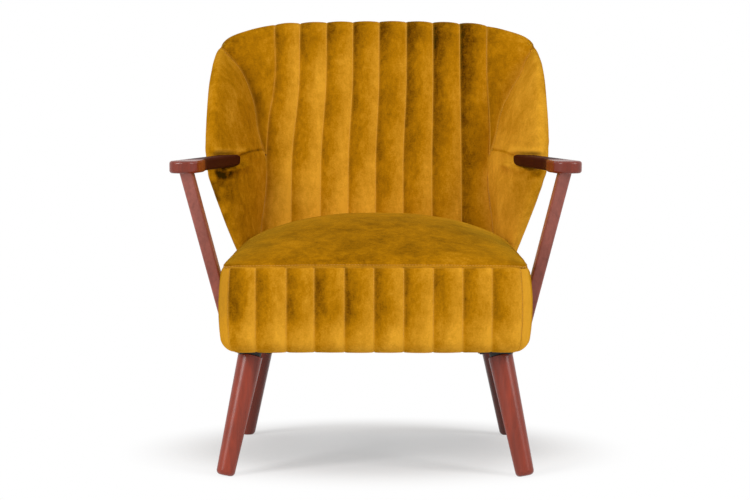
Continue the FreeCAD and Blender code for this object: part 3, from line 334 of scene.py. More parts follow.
@dataclass
class SeatForm(Form):
    """The domed, boxed seat.

    Attributes:
        half: half of its greatest width.
        front: Y of its front.
        base: height of its underside.
        rim: height of the seam round its top.
    """
    half: float = 276.0
    front: float = -342.0
    base: float = 220.0
    rim: float = 374.0

    def __post_init__(self) -> None:
        """Sets the dome: its ridge on the middle plane, and its share of the ridge away from it."""
        self.share = Curve((0, 1), (60, 0.975), (105, 0.91), (153, 0.80), (187, 0.67), (220, 0.51),
                           (245, 0.33), (262, 0.15), (275, 0.0), (290, -0.15))
        self.ridge = Curve((-345, 372), (-334, 377), (-310, 389), (-270, 404), (-200, 424), (-120, 441),
                           (-40, 450), (40, 452), (110, 448), (200, 438))

    def top(self, x: Array, y: Array) -> Array:
        """Height of the dome."""
        return self.rim + (self.ridge(y) - self.rim) * self.share(np.abs(x))

    def body(self, p: Array) -> Array:
        """Signed distance to the upright sides of the seat, which bulge at half height."""
        middle = (self.rim + self.base) / 2
        bulge = ((p[..., 2] - middle) / (self.rim - middle)) ** 2
        side = np.abs(p[..., 0]) - (self.half - 7 * bulge)
        front = (self.front + 6 * bulge) - p[..., 1]
        return rounded(26, side, front)

    def depth(self, p: Array) -> Array:
        """Signed distance of points (..., 3): the sides, the underside and the dome in common."""
        body = self.body(p)
        dome = (p[..., 2] - self.top(p[..., 0], p[..., 1])) * 0.95
        return np.maximum(rounded(22, body, self.base - p[..., 2]), rounded(7, body, dome))


# ---- panels
class Edge(Enum):
    """The four edges of a grid."""
    FIRST_ROW = 0
    LAST_ROW = 1
    FIRST_COLUMN = 2
    LAST_COLUMN = 3


SIDES = (Edge.FIRST_COLUMN, Edge.LAST_COLUMN)
ROWS = (Edge.FIRST_ROW, Edge.LAST_ROW)


@dataclass
class Panel:
    """A cover panel: a grid of points on a form.

    Attributes:
        points: array (rows, columns, 3) in millimetres; seen from outside, columns run right and rows up.
        normals: outward directions, the same shape.
        lift: how far each point is raised, (rows, columns).
        seam_highlight: how near each point is to a seam, 0 to 1; the velvet paints a highlight line there.
        nap_and_painted_light: random pile mottle together with painted light and shade, from -1 darkest to 1
            lightest.
    """
    points: np.ndarray
    normals: np.ndarray
    lift: np.ndarray
    seam_highlight: np.ndarray
    nap_and_painted_light: np.ndarray
    # Painted shade: the turned-in edges are coloured dark as if in shadow.
    HEM_PAINTED_SHADE = -1.2

    @classmethod
    def on(cls, form: Form, points: Array) -> "Panel":
        """A bare panel whose points already lie on a form."""
        flat = np.zeros(points.shape[:2])
        return cls(points, form.normal(points), flat.copy(), flat.copy(), flat.copy())

    def from_edge(self, edge: Edge) -> Array:
        """Distance of every point from one edge, measured along the grid."""
        axis = 0 if edge in ROWS else 1
        step = np.linalg.norm(np.diff(self.points, axis=axis), axis=-1)
        run = np.concatenate([np.zeros_like(np.take(step, [0], axis)), np.cumsum(step, axis)], axis)
        if edge in (Edge.LAST_ROW, Edge.LAST_COLUMN):
            run = np.take(run, [-1], axis) - run
        return run

    def draw_down(self, away: Array, depth: float, width: float, mark: float = 1.8) -> None:
        """Pulls the cover down towards a seam.

        Args:
            away: distance of every point from the seam.
            depth: how far down the seam lies.
            width: how far the pull reaches.
            mark: reach of the painted highlight line along it.
        """
        self.lift -= depth * np.clip(1 - away / width, 0, 1) ** 2.2
        # Near the seam the velvet paints a thin highlight line.
        self.seam_highlight = np.maximum(self.seam_highlight, hill(away, mark))

    def pucker(self, away: Array, size: float, reach: float, wave: Triple = (13, 13, 13)) -> None:
        """Small gathers that fade with distance from a seam."""
        self.lift += size * waves(self.points, wave, 3.0) * hill(away, reach)

    def soften(self, size: float, wave: float) -> None:
        """Slow unevenness of hand-laid stuffing."""
        self.lift += size * waves(self.points, wave, 7.0)

    def grid(self, hems: Iterable[Edge], turned: Triple = (1.0, 3.5, 8.0)) -> tuple[Array, Array]:
        """The raised points with their turned-in edges.

        Args:
            hems: the edges that are turned in.
            turned: depths of the turned rows.
        Returns:
            (points, marks) with extra rows and columns; marks holds the seam_highlight and the
            nap_and_painted_light.
        """
        p = self.points + self.normals * self.lift[..., None]
        n, marks = self.normals, np.stack([self.seam_highlight, self.nap_and_painted_light], -1)
        for edge in hems:
            axis = 0 if edge in ROWS else 1
            first = edge in (Edge.FIRST_ROW, Edge.FIRST_COLUMN)
            rim, out, hem_shade = (np.take(a, [0 if first else -1], axis) for a in (p, n, marks))
            extra = [rim - out * depth for depth in turned]
            # The turned rows get painted shade and no seam highlight.
            hem_shade = hem_shade * 0 + [0, self.HEM_PAINTED_SHADE]
            p = np.concatenate(extra[::-1] + [p] if first else [p] + extra, axis)
            n, marks = (np.concatenate([b] * 3 + [a] if first else [a] + [b] * 3, axis)
                        for a, b in ((n, out), (marks, hem_shade)))
        return p, marks


class Piece:
    """Collects grids into one mesh object."""

    def __init__(self, name: str) -> None:
        """Starts an empty piece."""
        self.name, self.verts, self.faces, self.marks, self.uvs = name, [], [], [], []
        self.count = 0

    def add(self, points: Array, marks: Array, flip: bool = False) -> "Piece":
        """Adds one grid.

        Args:
            points: (rows, columns, 3) in millimetres.
            marks: (rows, columns, 2), the seam_highlight and the nap_and_painted_light.
            flip: turns the faces over.
        Returns:
            The piece itself.
        """
        rows, columns = points.shape[:2]
        ids = np.arange(rows * columns).reshape(rows, columns) + self.count
        quads = np.stack([ids[:-1, :-1], ids[:-1, 1:], ids[1:, 1:], ids[1:, :-1]], -1).reshape(-1, 4)
        across = np.linalg.norm(np.diff(points, axis=1), axis=-1).mean(0)
        up = np.linalg.norm(np.diff(points, axis=0), axis=-1).mean(1)
        u, v = np.concatenate([[0], np.cumsum(across)]), np.concatenate([[0], np.cumsum(up)])
        place = np.stack(np.meshgrid(u, v), -1).reshape(-1, 2) * MM
        self.uvs.append(place + [len(self.verts) * 1.3, 0])
        self.verts.append(points.reshape(-1, 3) * MM)
        self.faces.append(quads[:, ::-1] if flip else quads)
        self.marks.append(marks.reshape(-1, 2))
        self.count += rows * columns
        return self

    def mesh(self) -> bpy.types.Mesh:
        """The collected grids as a smooth mesh."""
        mesh = bpy.data.meshes.new(self.name)
        mesh.from_pydata(np.vstack(self.verts).tolist(), [], np.vstack(self.faces).tolist())
        mesh.shade_smooth()
        return mesh

    def build(self, material: Material, replaces: Iterable[str], fill: float) -> None:
        """Args:
            material: the velvet.
            replaces: CAD nodes it stands for.
            fill: how full the padding is; not used.
        """
        mesh = self.mesh()
        # Mesh attributes: the seams' painted highlight, and pile mottle with painted light and shade.
        for k, mark in enumerate(("seam_highlight", "nap_and_painted_light")):
            mesh.attributes.new(mark, "FLOAT", "POINT").data.foreach_set(
                "value", np.vstack(self.marks)[:, k].astype(np.float32))
        uv = mesh.uv_layers.new(name="cloth")
        loops = np.zeros(len(mesh.loops), int)
        mesh.loops.foreach_get("vertex_index", loops)
        uv.data.foreach_set("uv", np.vstack(self.uvs)[loops].astype(np.float32).ravel())
        mesh.validate()
        item = placed(self.name, mesh)
        mesh.materials.append(material)
        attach(item, "root")
        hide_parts(*replaces)
        log.info("%s: %d faces", self.name, len(mesh.polygons))


def lerp_columns(knots: Sequence[Callable[[Array], Array]], z: Array) -> tuple[Array, Array, Array, Array]:
    """Column positions between seams, closer together near each seam.

    Args:
        knots: functions of height, the seams from left to right.
        z: heights (rows,).
    Returns:
        (x (rows, columns), distance to the nearest seam, half of the channel's width, place across it).
    """
    t = (1 - np.cos(np.linspace(0, math.pi, PER_CHANNEL + 1))) / 2
    t = 0.55 * t + 0.45 * np.linspace(0, 1, PER_CHANNEL + 1)
    lines = [np.broadcast_to(knot(z), z.shape)[:, None] for knot in knots]
    gaps = []
    for k, (left, right) in enumerate(zip(lines, lines[1:])):
        part = t if k == len(lines) - 2 else t[:-1]
        width = right - left
        x, near = left + width * part, np.minimum(part, 1 - part)[None] * width
        gaps.append((x, near, np.broadcast_to(width / 2, x.shape), np.broadcast_to(2 * part - 1, x.shape)))
    return tuple(np.hstack(column) for column in zip(*gaps))


def channel(near: Array, half: Array, height: float) -> Array:
    """Cross-section of a stuffed channel: a full round between its seams."""
    t = np.clip(near / np.maximum(half, 1e-6), 0, 1)
    return height * (1 - (1 - t) ** 2.1)


@dataclass
class Stitches:
    """The visible thread along the seams, laid out by geometry nodes.

    Attributes:
        radius, length: of one stitch in metres.
        pitch: from one stitch to the next in metres.
        above: how far the thread stands above the cover in millimetres.
    """
    radius: float = 0.00035
    length: float = 0.0040
    pitch: float = 0.0052
    above: float = 0.25

    def __post_init__(self) -> None:
        """Starts without seams."""
        self.lines = []

    def along(self, panel: Panel, rows: int | slice, columns: int | slice) -> None:
        """Adds one seam that follows a row or a column of a panel."""
        points = (panel.points + panel.normals * (panel.lift[..., None] + self.above))[rows, columns]
        self.lines.append(points * MM)

    def path(self) -> bpy.types.Object:
        """A curve object that holds every seam."""
        curve = bpy.data.curves.new("seam_path", "CURVE")
        curve.dimensions = "3D"
        for line in self.lines:
            spline = curve.splines.new("POLY")
            spline.points.add(len(line) - 1)
            spline.points.foreach_set("co", np.hstack([line, np.ones((len(line), 1))]).ravel())
        return placed("seam_path", curve)

    def layout(self, material: Material) -> Tree:
        """A node group that repeats one stitch along a curve.

        Args:
            material: finish of every copy.
        Returns:
            The node group, with the named input "Pitch".
        """
        group = bpy.data.node_groups.new("along_a_line", "GeometryNodeTree")
        group.interface.new_socket("Geometry", in_out="INPUT", socket_type="NodeSocketGeometry")
        pitch = group.interface.new_socket("Pitch", in_out="INPUT", socket_type="NodeSocketFloat")
        pitch.default_value = self.pitch
        group.interface.new_socket("Geometry", in_out="OUTPUT", socket_type="NodeSocketGeometry")
        into, out, points, copies, thread, turn, real, wear = (group.nodes.new(kind) for kind in (
            "NodeGroupInput", "NodeGroupOutput", "GeometryNodeCurveToPoints", "GeometryNodeInstanceOnPoints",
            "GeometryNodeMeshCylinder", "FunctionNodeAlignRotationToVector",
            "GeometryNodeRealizeInstances", "GeometryNodeSetMaterial"))
        points.mode, turn.axis = "LENGTH", "Z"
        for name, value in (("Vertices", 5), ("Radius", self.radius), ("Depth", self.length)):
            thread.inputs[name].default_value = value
        wear.inputs["Material"].default_value = material
        for source, output, target, socket in (
                (into, "Geometry", points, "Curve"), (into, "Pitch", points, "Length"),
                (points, "Points", copies, "Points"), (points, "Tangent", turn, "Vector"),
                (turn, "Rotation", copies, "Rotation"), (thread, "Mesh", copies, "Instance"),
                (copies, "Instances", real, "Geometry"), (real, "Geometry", wear, "Geometry"),
                (wear, "Geometry", out, "Geometry")):
            group.links.new(source.outputs[output], target.inputs[socket])
        return group

    def build(self, material: Material) -> None:
        """Makes every stitch as one plain mesh."""
        path = self.path()
        modifier = path.modifiers.new("layout", "NODES")
        modifier.node_group = self.layout(material)
        key = next(i.identifier for i in modifier.node_group.interface.items_tree if i.name == "Pitch")
        modifier[key] = self.pitch
        path.update_tag()
        bpy.context.view_layer.update()
        graph = bpy.context.evaluated_depsgraph_get()
        mesh = bpy.data.meshes.new_from_object(path.evaluated_get(graph))
        bpy.data.objects.remove(path)
        item = placed("seam_stitches", mesh)
        if not mesh.materials:
            mesh.materials.append(material)
        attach(item, "root")
        log.info("seam_stitches: %d faces", len(mesh.polygons))


# ---- the back
@dataclass
class Back:
    """Covers of the back: channelled inside, gussets beside it, wings and outside back.

    Attributes:
        top_seams, low_seams: X of the seven channel seams at the top and at the bottom.
        puff: how full the channels are.
        crest: height where the rows turn over the crest.
        fans: rows of the front turn, of the crest and of the rear turn.
        stop: degrees of the rear turn.
        gusset_low: where the gussets start.
        tip: top of the wings.
        pivot_in, side_in: from the wing's outer face to the starts of the rays of its nose and its side.
    """
    top_seams: tuple = (-158, -104, -50.6, 2.7, 58, 111.7, 166)
    low_seams: tuple = (-171.6, -113.4, -58.4, -3.8, 51.3, 108.9, 167.3)
    puff: float = 5.0
    crest: float = 800.0
    fans: tuple = (12, 16, 8)
    stop: float = 81.0
    gusset_low: float = 566.0
    tip: float = 787.0
    pivot_in: float = 23.0
    side_in: float = 40.0

    def __post_init__(self) -> None:
        """Makes the form and the outermost seams, left (-1) and right (1)."""
        self.form = BackForm()
        self.outermost = {
            -1: Curve((400, -229), (430, -227), (472, -222), (516, -219.5), (560, -221.5), (605, -220),
                      (650, -216), (685, -210), (740, -206), (840, -211)),
            1: Curve((400, 229), (430, 227), (472, 222), (516, 219.5), (560, 223), (605, 225), (650, 224),
                     (685, 222), (740, 220), (840, 221))}

    def seam_line(self, k: int) -> Callable[[Array], Array]:
        """The k-th inner channel seam as a function of height."""
        low, top = self.low_seams[k], self.top_seams[k]
        return lambda z: low + (top - low) * ease((z - 540) / 190)

    def wrap(self, x: Array, z_front: Array) -> Array:
        """Rows that go up the front, over the crest and end on the rear's edge.

        Args:
            x: (rows, columns) for the front rows.
            z_front: heights of the front rows.
        Returns:
            Points (rows, columns, 3).
        """
        z = np.broadcast_to(z_front[:, None], x.shape)
        front = self.form.cast(np.stack([x, self.form.inside(x, z) + INSET, z], -1), [0, -1, 0])
        return np.concatenate([front, self.over(x[-1], z_front[-1])[1:]], 0)

    def over(self, x: Array, z: float) -> Array:
        """Rows over the crest for columns at x, from height z on the front."""
        z = np.broadcast_to(z, x.shape)
        front, rear = self.form.inside(x, z) + INSET, self.form.rear(z + 8) - 24
        sideways, up = self.outward(x)

        def leave(y: Array, across: float, along: float) -> Array:
            """Where the rays from depth y, with these shares across and along the crest, leave the form."""
            way = np.stack([sideways * across, along + 0 * x, up * across], -1)
            return self.form.cast(np.stack([x, y, z], -1), way)

        first, flat, last = self.fans
        rows = [leave(front, math.sin(a), -math.cos(a)) for a in np.radians(np.linspace(0, 90, first))]
        rows += [leave(front * (1 - t) + rear * t, 1, 0) for t in np.linspace(0, 1, flat + 2)[1:-1]]
        rows += [leave(rear, math.cos(a), math.sin(a)) for a in np.radians(np.linspace(0, self.stop, last))]
        return np.stack(rows, 0)

    @staticmethod
    def outward(x: Array) -> tuple[Array, Array]:
        """Shares sideways and up of the way out at the crest, which turns sideways at the shoulders."""
        turn = ease((np.abs(x) - 205) / 100) * math.radians(62)
        return np.sign(x) * np.sin(turn), np.cos(turn)

    def inside_back(self) -> Panel:
        """The eight channels of the inside back, over the crest to the rear seam."""
        z = np.concatenate([np.arange(392, self.crest, 3.2), [self.crest]])
        knots = [self.outermost[-1], *[self.seam_line(k) for k in range(7)], self.outermost[1]]
        xs, near, half, place = lerp_columns(knots, z)
        points = self.wrap(xs, z)
        panel = Panel.on(self.form, points)
        extra = len(points) - len(z)
        near, half, place = (np.vstack([a, np.repeat(a[-1:], extra, 0)]) for a in (near, half, place))
        rear = panel.from_edge(Edge.LAST_ROW)
        fade = 0.35 + 0.65 * ease((rear - 75) / 60)
        panel.lift += channel(near, half, self.puff) * fade - 1.6 + 1.0 * (1 - fade)
        panel.draw_down(near, 1.0, 4)
        panel.pucker(near, 0.5, 9, (30, 30, 17))
        panel.draw_down(rear, 2.5, 9)
        panel.soften(0.8, 120)
        x, z = points[..., 0], points[..., 2]
        # Painted light and shade: each channel lighter on its right side, the lower back lighter, the top
        # darker, the left side lighter than the right.
        panel.nap_and_painted_light += 0.85 * place * ease(near / 1.2)
        panel.nap_and_painted_light += 0.60 * ease((640 - z) / 200) - 0.15 - 0.3 * ease((z - 740) / 80)
        panel.nap_and_painted_light -= 0.40 * np.clip(x / 200, -1, 1)
        return panel

    def gusset(self, side: int) -> Panel:
        """The plain wedge between the outermost channel seam and the wing, on side -1 or 1."""
        count = 68
        z_in = np.linspace(self.gusset_low, self.crest, count)
        z_out = np.linspace(self.gusset_low, self.tip, count)
        inner = self.wrap(self.outermost[side](z_in)[:, None], z_in)[:, 0]
        seam = np.stack([self.wing_line(level, side)[0] for level in z_out])
        crest = self.wing_line(self.tip, side)
        outer = np.concatenate([seam, self.spaced(crest, len(inner) - count + 1)[1:]], 0)
        points = self.form.between(inner, outer, np.linspace(0, 1, 27))
        panel = Panel.on(self.form, points if side > 0 else points[:, ::-1])
        left, right = (panel.from_edge(edge) for edge in SIDES)
        width, near = left + right, np.minimum(left, right)
        high = 1 - 0.75 * ease((panel.points[..., 2] - 740) / 50)
        full = channel(near, np.minimum(width / 2, 34), self.puff) * ease(width / 50)
        panel.lift += full * 0.7 * high - 1.2
        panel.draw_down(near, 1.0, 4)
        panel.pucker(near, 0.6, 12)
        panel.draw_down(panel.from_edge(Edge.LAST_ROW), 2.5, 9)
        panel.soften(0.8, 100)
        # Painted light and shade: each gusset lighter towards its right side, the left gusset darker.
        panel.nap_and_painted_light += 0.5 * (2 * left / np.maximum(width, 1) - 1) * ease(width / 30) - (0.3 if side < 0 else 0)
        return panel

    @staticmethod
    def spaced(line: Array, count: int) -> Array:
        """Points at even steps along a line of points."""
        run = np.concatenate([[0], np.cumsum(np.linalg.norm(np.diff(line, axis=0), axis=1))])
        at = np.linspace(0, run[-1], count)
        return np.stack([np.interp(at, run, line[:, k]) for k in range(3)], -1)

    @staticmethod
    def rear_turn(x: float, y: float, z: float, side: int) -> tuple[list, list]:
        """Starts and directions of the rays round the back's rear corner."""
        angles = np.radians(np.linspace(0, 80, 15)[1:])
        ways = [(side * math.cos(a), math.sin(a), 0) for a in angles]
        return [(side * x, y, z)] * len(ways), ways

    def wing_line(self, z: float, side: int) -> Array:
        """One level round the wing, from its seam past the nose to the seam of the outside back.

        Args:
            z: the level.
            side: -1 or 1.
        Returns:
            Points (n, 3), the first of them on the seam.
        """
        half, rear = float(self.form.half_width(z)), float(self.form.rear(z))
        seam = float(self.form.seam(z, side))
        pivot = half - self.pivot_in
        starts = [(side * x, float(self.form.inside(np.array(side * x), z)) + 26, z)
                  for x in np.linspace(min(seam - 3, pivot - 1), pivot, 30)]
        ways = [(0, -1, 0)] * len(starts)
        y = starts[-1][1]
        nose = np.radians(np.linspace(0, 90, 25)[1:])
        starts += [(side * pivot, y, z)] * len(nose)
        ways += [(side * math.sin(a), -math.cos(a), 0) for a in nose]
        last = max(rear - 55, y + 4)
        flank = np.linspace(y, last, 34)[1:]
        starts += [(side * (half - self.side_in), along, z) for along in flank]
        ways += [(side, 0, 0)] * len(flank)
        turn_starts, turn_ways = self.rear_turn(half - 52, last, z, side)
        line = self.form.cast(np.array(starts + turn_starts), np.array(ways + turn_ways))
        past = np.nonzero(np.abs(line[:, 0]) >= seam)[0]
        k = past[0] if len(past) else len(line) // 3
        if k > 0:
            low, high = abs(line[k - 1, 0]), abs(line[k, 0])
            t = np.clip((seam - low) / max(high - low, 1e-6), 0, 1)
            line = np.vstack([line[k - 1] * (1 - t) + line[k] * t, line[k:]])
        return line

    def wing_rows(self) -> Array:
        """Heights of the wing's rows, close together beside the arm."""
        low, mid, high = np.arange(366, 540, 5), np.arange(541, 585, 2.2), np.arange(588, self.tip - 1, 4)
        return np.concatenate([low, mid, high, [self.tip]])

    def low_line(self, z: float, side: int) -> Array:
        """One level round the back's side beside the seat."""
        half, last = float(self.form.half_width(z)), float(self.form.rear(z)) - 40
        starts = [(side * (half - self.side_in), y, z) for y in np.linspace(161, last, 16)]
        turn_starts, turn_ways = self.rear_turn(half - 51, last, z, side)
        return self.form.cast(np.array(starts + turn_starts), np.array([(side, 0, 0)] * 16 + turn_ways))

    def wing(self, side: int) -> tuple[Panel, Panel, Edge, Edge]:
        """Both panels of one wing.

        Args:
            side: -1 or 1.
        Returns:
            (the wing itself, its lower end beside the seat, its edge at the seam, its edge at the rear).
        """
        points = np.stack([self.spaced(self.wing_line(z, side), 104) for z in self.wing_rows()])
        low_rows = np.concatenate([[221, 224, 229], np.arange(236, 366, 8), [366]])
        low = np.stack([self.low_line(z, side) for z in low_rows])
        seam_edge, rear_edge = SIDES if side > 0 else SIDES[::-1]
        panel, lower = (Panel.on(self.form, p if side > 0 else p[:, ::-1]) for p in (points, low))
        seam_gap, rear_gap = panel.from_edge(seam_edge), panel.from_edge(rear_edge)
        p = panel.points
        x, z = np.abs(p[..., 0]), p[..., 2]
        panel.lift += 3.0 * ease(seam_gap / 45) * (1 - ease((z - 700) / 80)) - 1.2
        panel.draw_down(seam_gap, 1.4, 6)
        panel.draw_down(rear_gap, 2.5, 10)
        panel.draw_down(panel.from_edge(Edge.LAST_ROW), 0.8, 4)
        panel.pucker(seam_gap, 0.8, 20, (22, 22, 15))
        panel.soften(1.4, 85)
        self.arm_slit(panel, side)
        # Painted light: faces that turn to the front are painted lighter, strongly on the right wing and
        # weakly on the left; random mottle; a darker patch on the left wing's nose at about 640 high.
        painted_front_light = ease(0.2 - panel.normals[..., 1] * 1.5)
        panel.nap_and_painted_light += 0.3 * waves(p, (60, 60, 90), 41) + (0.95 if side > 0 else 0.15) * painted_front_light
        panel.nap_and_painted_light -= 0.5 * np.exp(-((z - 640) / 60) ** 2 - ((x - 312) / 16) ** 2) * (side < 0)
        lower.lift += 1.0
        lower.draw_down(lower.from_edge(rear_edge), 2.5, 10)
        lower.draw_down(lower.from_edge(seam_edge), 2.0, 6)
        lower.soften(1.0, 85)
        return panel, lower, seam_edge, rear_edge

    @staticmethod
    def arm_slit(panel: Panel, side: int) -> None:
        """The slit that the arm goes in, the painted shade below it and the painted highlight above it, and
        the seam that runs on from it.

        Args:
            panel: the wing, changed in place.
            side: -1 or 1; the left one gets darker painted shade below the arm.
        """
        p, toe = panel.points, math.radians(ARM_TOE)
        x, y, z = np.abs(p[..., 0]), p[..., 1] + 234, p[..., 2]
        along = y * math.cos(toe) + (ARM_X - x) * math.sin(toe)
        across = (x - ARM_X) * math.cos(toe) + y * math.sin(toe)
        rise = z - (556.5 + along * 0.028)
        away = np.hypot(np.maximum(np.abs(across) - 17, 0), np.maximum(np.abs(rise + 11) - 11, 0))
        inner = p[..., 1] < 190

        def only(values: Array) -> Array:
            """The values near the slit, 0 on the outside of the wing."""
            return np.where(inner, values, 0)

        panel.lift += only(3.4 * hill(away, 6, 9) * (0.9 + 0.7 * waves(p, 19, 11)) - 5.0 * hill(away, 3.5))
        panel.lift += only(7.0 * (hill(across, 9, -17) * (hill(rise, 5, 1) + hill(rise, 5, -23))))
        panel.lift += only(hill(away, 38)) * 2.2 * waves(p, (55, 55, 15), 21)
        run = np.clip((x - 222) / 45, 0, 1)
        gap = np.where(inner & (x < 270), np.abs(z - (576 - 11 * run ** 1.6)), 99)
        panel.lift -= 1.8 * np.clip(1 - gap / 8, 0, 1) ** 2.2
        panel.nap_and_painted_light -= 1.1 * hill(gap, 2.2)
        # Painted shade, mottled: a dark patch below the arm and a dark streak running down and inwards from
        # it.
        below, beside = np.maximum(-22 - rise, 0), np.maximum(np.abs(across - 8) - 8, 0)
        shade_below_arm = np.exp(-(beside / 15) ** 2 - (below / 34) ** 2) * (rise < -16)
        shade_below_arm = shade_below_arm * np.clip(0.7 + 1.3 * waves(p, (26, 26, 22), 31) + 1.4 * waves(p, 10, 51), 0, 1.5)
        panel.nap_and_painted_light -= only(shade_below_arm * (1.55 if side < 0 else 0.9))
        shade_trail_below_arm = hill(x - 314 + 0.26 * (540 - z), 22) * ease((535 - z) / 30) * ease((z - 400) / 90)
        panel.nap_and_painted_light -= only(shade_trail_below_arm * (1.2 if side < 0 else 0.4) * (0.7 + 1.2 * waves(p, (16, 16, 30), 61)))
        # Painted highlight: a light band just above the arm.
        panel.nap_and_painted_light += only(0.6 * (hill(rise, 6, 7) * (np.abs(across) < 20)))

    def outside_back(self) -> Panel:
        """The plain outside back, from seam to seam."""
        z = np.concatenate([[221, 225, 231], np.arange(240, 790, 9), [792, 799, 804]])
        edge = self.form.half_width(np.minimum(z, 770)) - 45
        edge = np.where(z > 770, edge - (z - 770) * 0.25, edge)
        xs = edge[:, None] * np.linspace(-1, 1, 61)
        ys = np.broadcast_to(self.form.rear(z)[:, None] - 40, xs.shape)
        start = np.stack([xs, ys, np.broadcast_to(z[:, None], xs.shape)], -1)
        panel = Panel.on(self.form, self.form.cast(start, [0, 1, 0])[:, ::-1])
        for edge in (*SIDES, Edge.LAST_ROW):
            panel.draw_down(panel.from_edge(edge), 1.5, 8)
        panel.soften(0.7, 140)
        return panel

    def build(self, finish: Material, stitches: Stitches) -> None:
        """Makes the objects of the back and adds its seams to the stitches."""
        hems = (*SIDES, Edge.LAST_ROW)
        inside = self.inside_back()
        for k in range(0, inside.points.shape[1], PER_CHANNEL):
            stitches.along(inside, slice(4, -6), k)
        piece = Piece("back_inside")
        for panel in (inside, self.gusset(-1), self.gusset(1)):
            piece.add(*panel.grid(hems))
        piece.build(finish, ("back_cover_inside", "back_foam"), 0.8)
        for side, label in ((-1, "left"), (1, "right")):
            panel, lower, seam_edge, rear_edge = self.wing(side)
            stitches.along(panel, slice(12, -2), -1 if side < 0 else 0)
            piece = Piece(f"wing_{label}")
            piece.add(*panel.grid((seam_edge, rear_edge, Edge.LAST_ROW)))
            piece.add(*lower.grid((seam_edge, rear_edge, Edge.FIRST_ROW), (1.0, 5.0, 12.0)))
            piece.build(finish, (f"wing_cover_{label}", f"wing_foam_{label}"), 0.8)
        piece = Piece("back_outside").add(*self.outside_back().grid((*hems, Edge.FIRST_ROW)))
        piece.build(finish, ("back_cover_outside", "back_wadding"), 0.9)


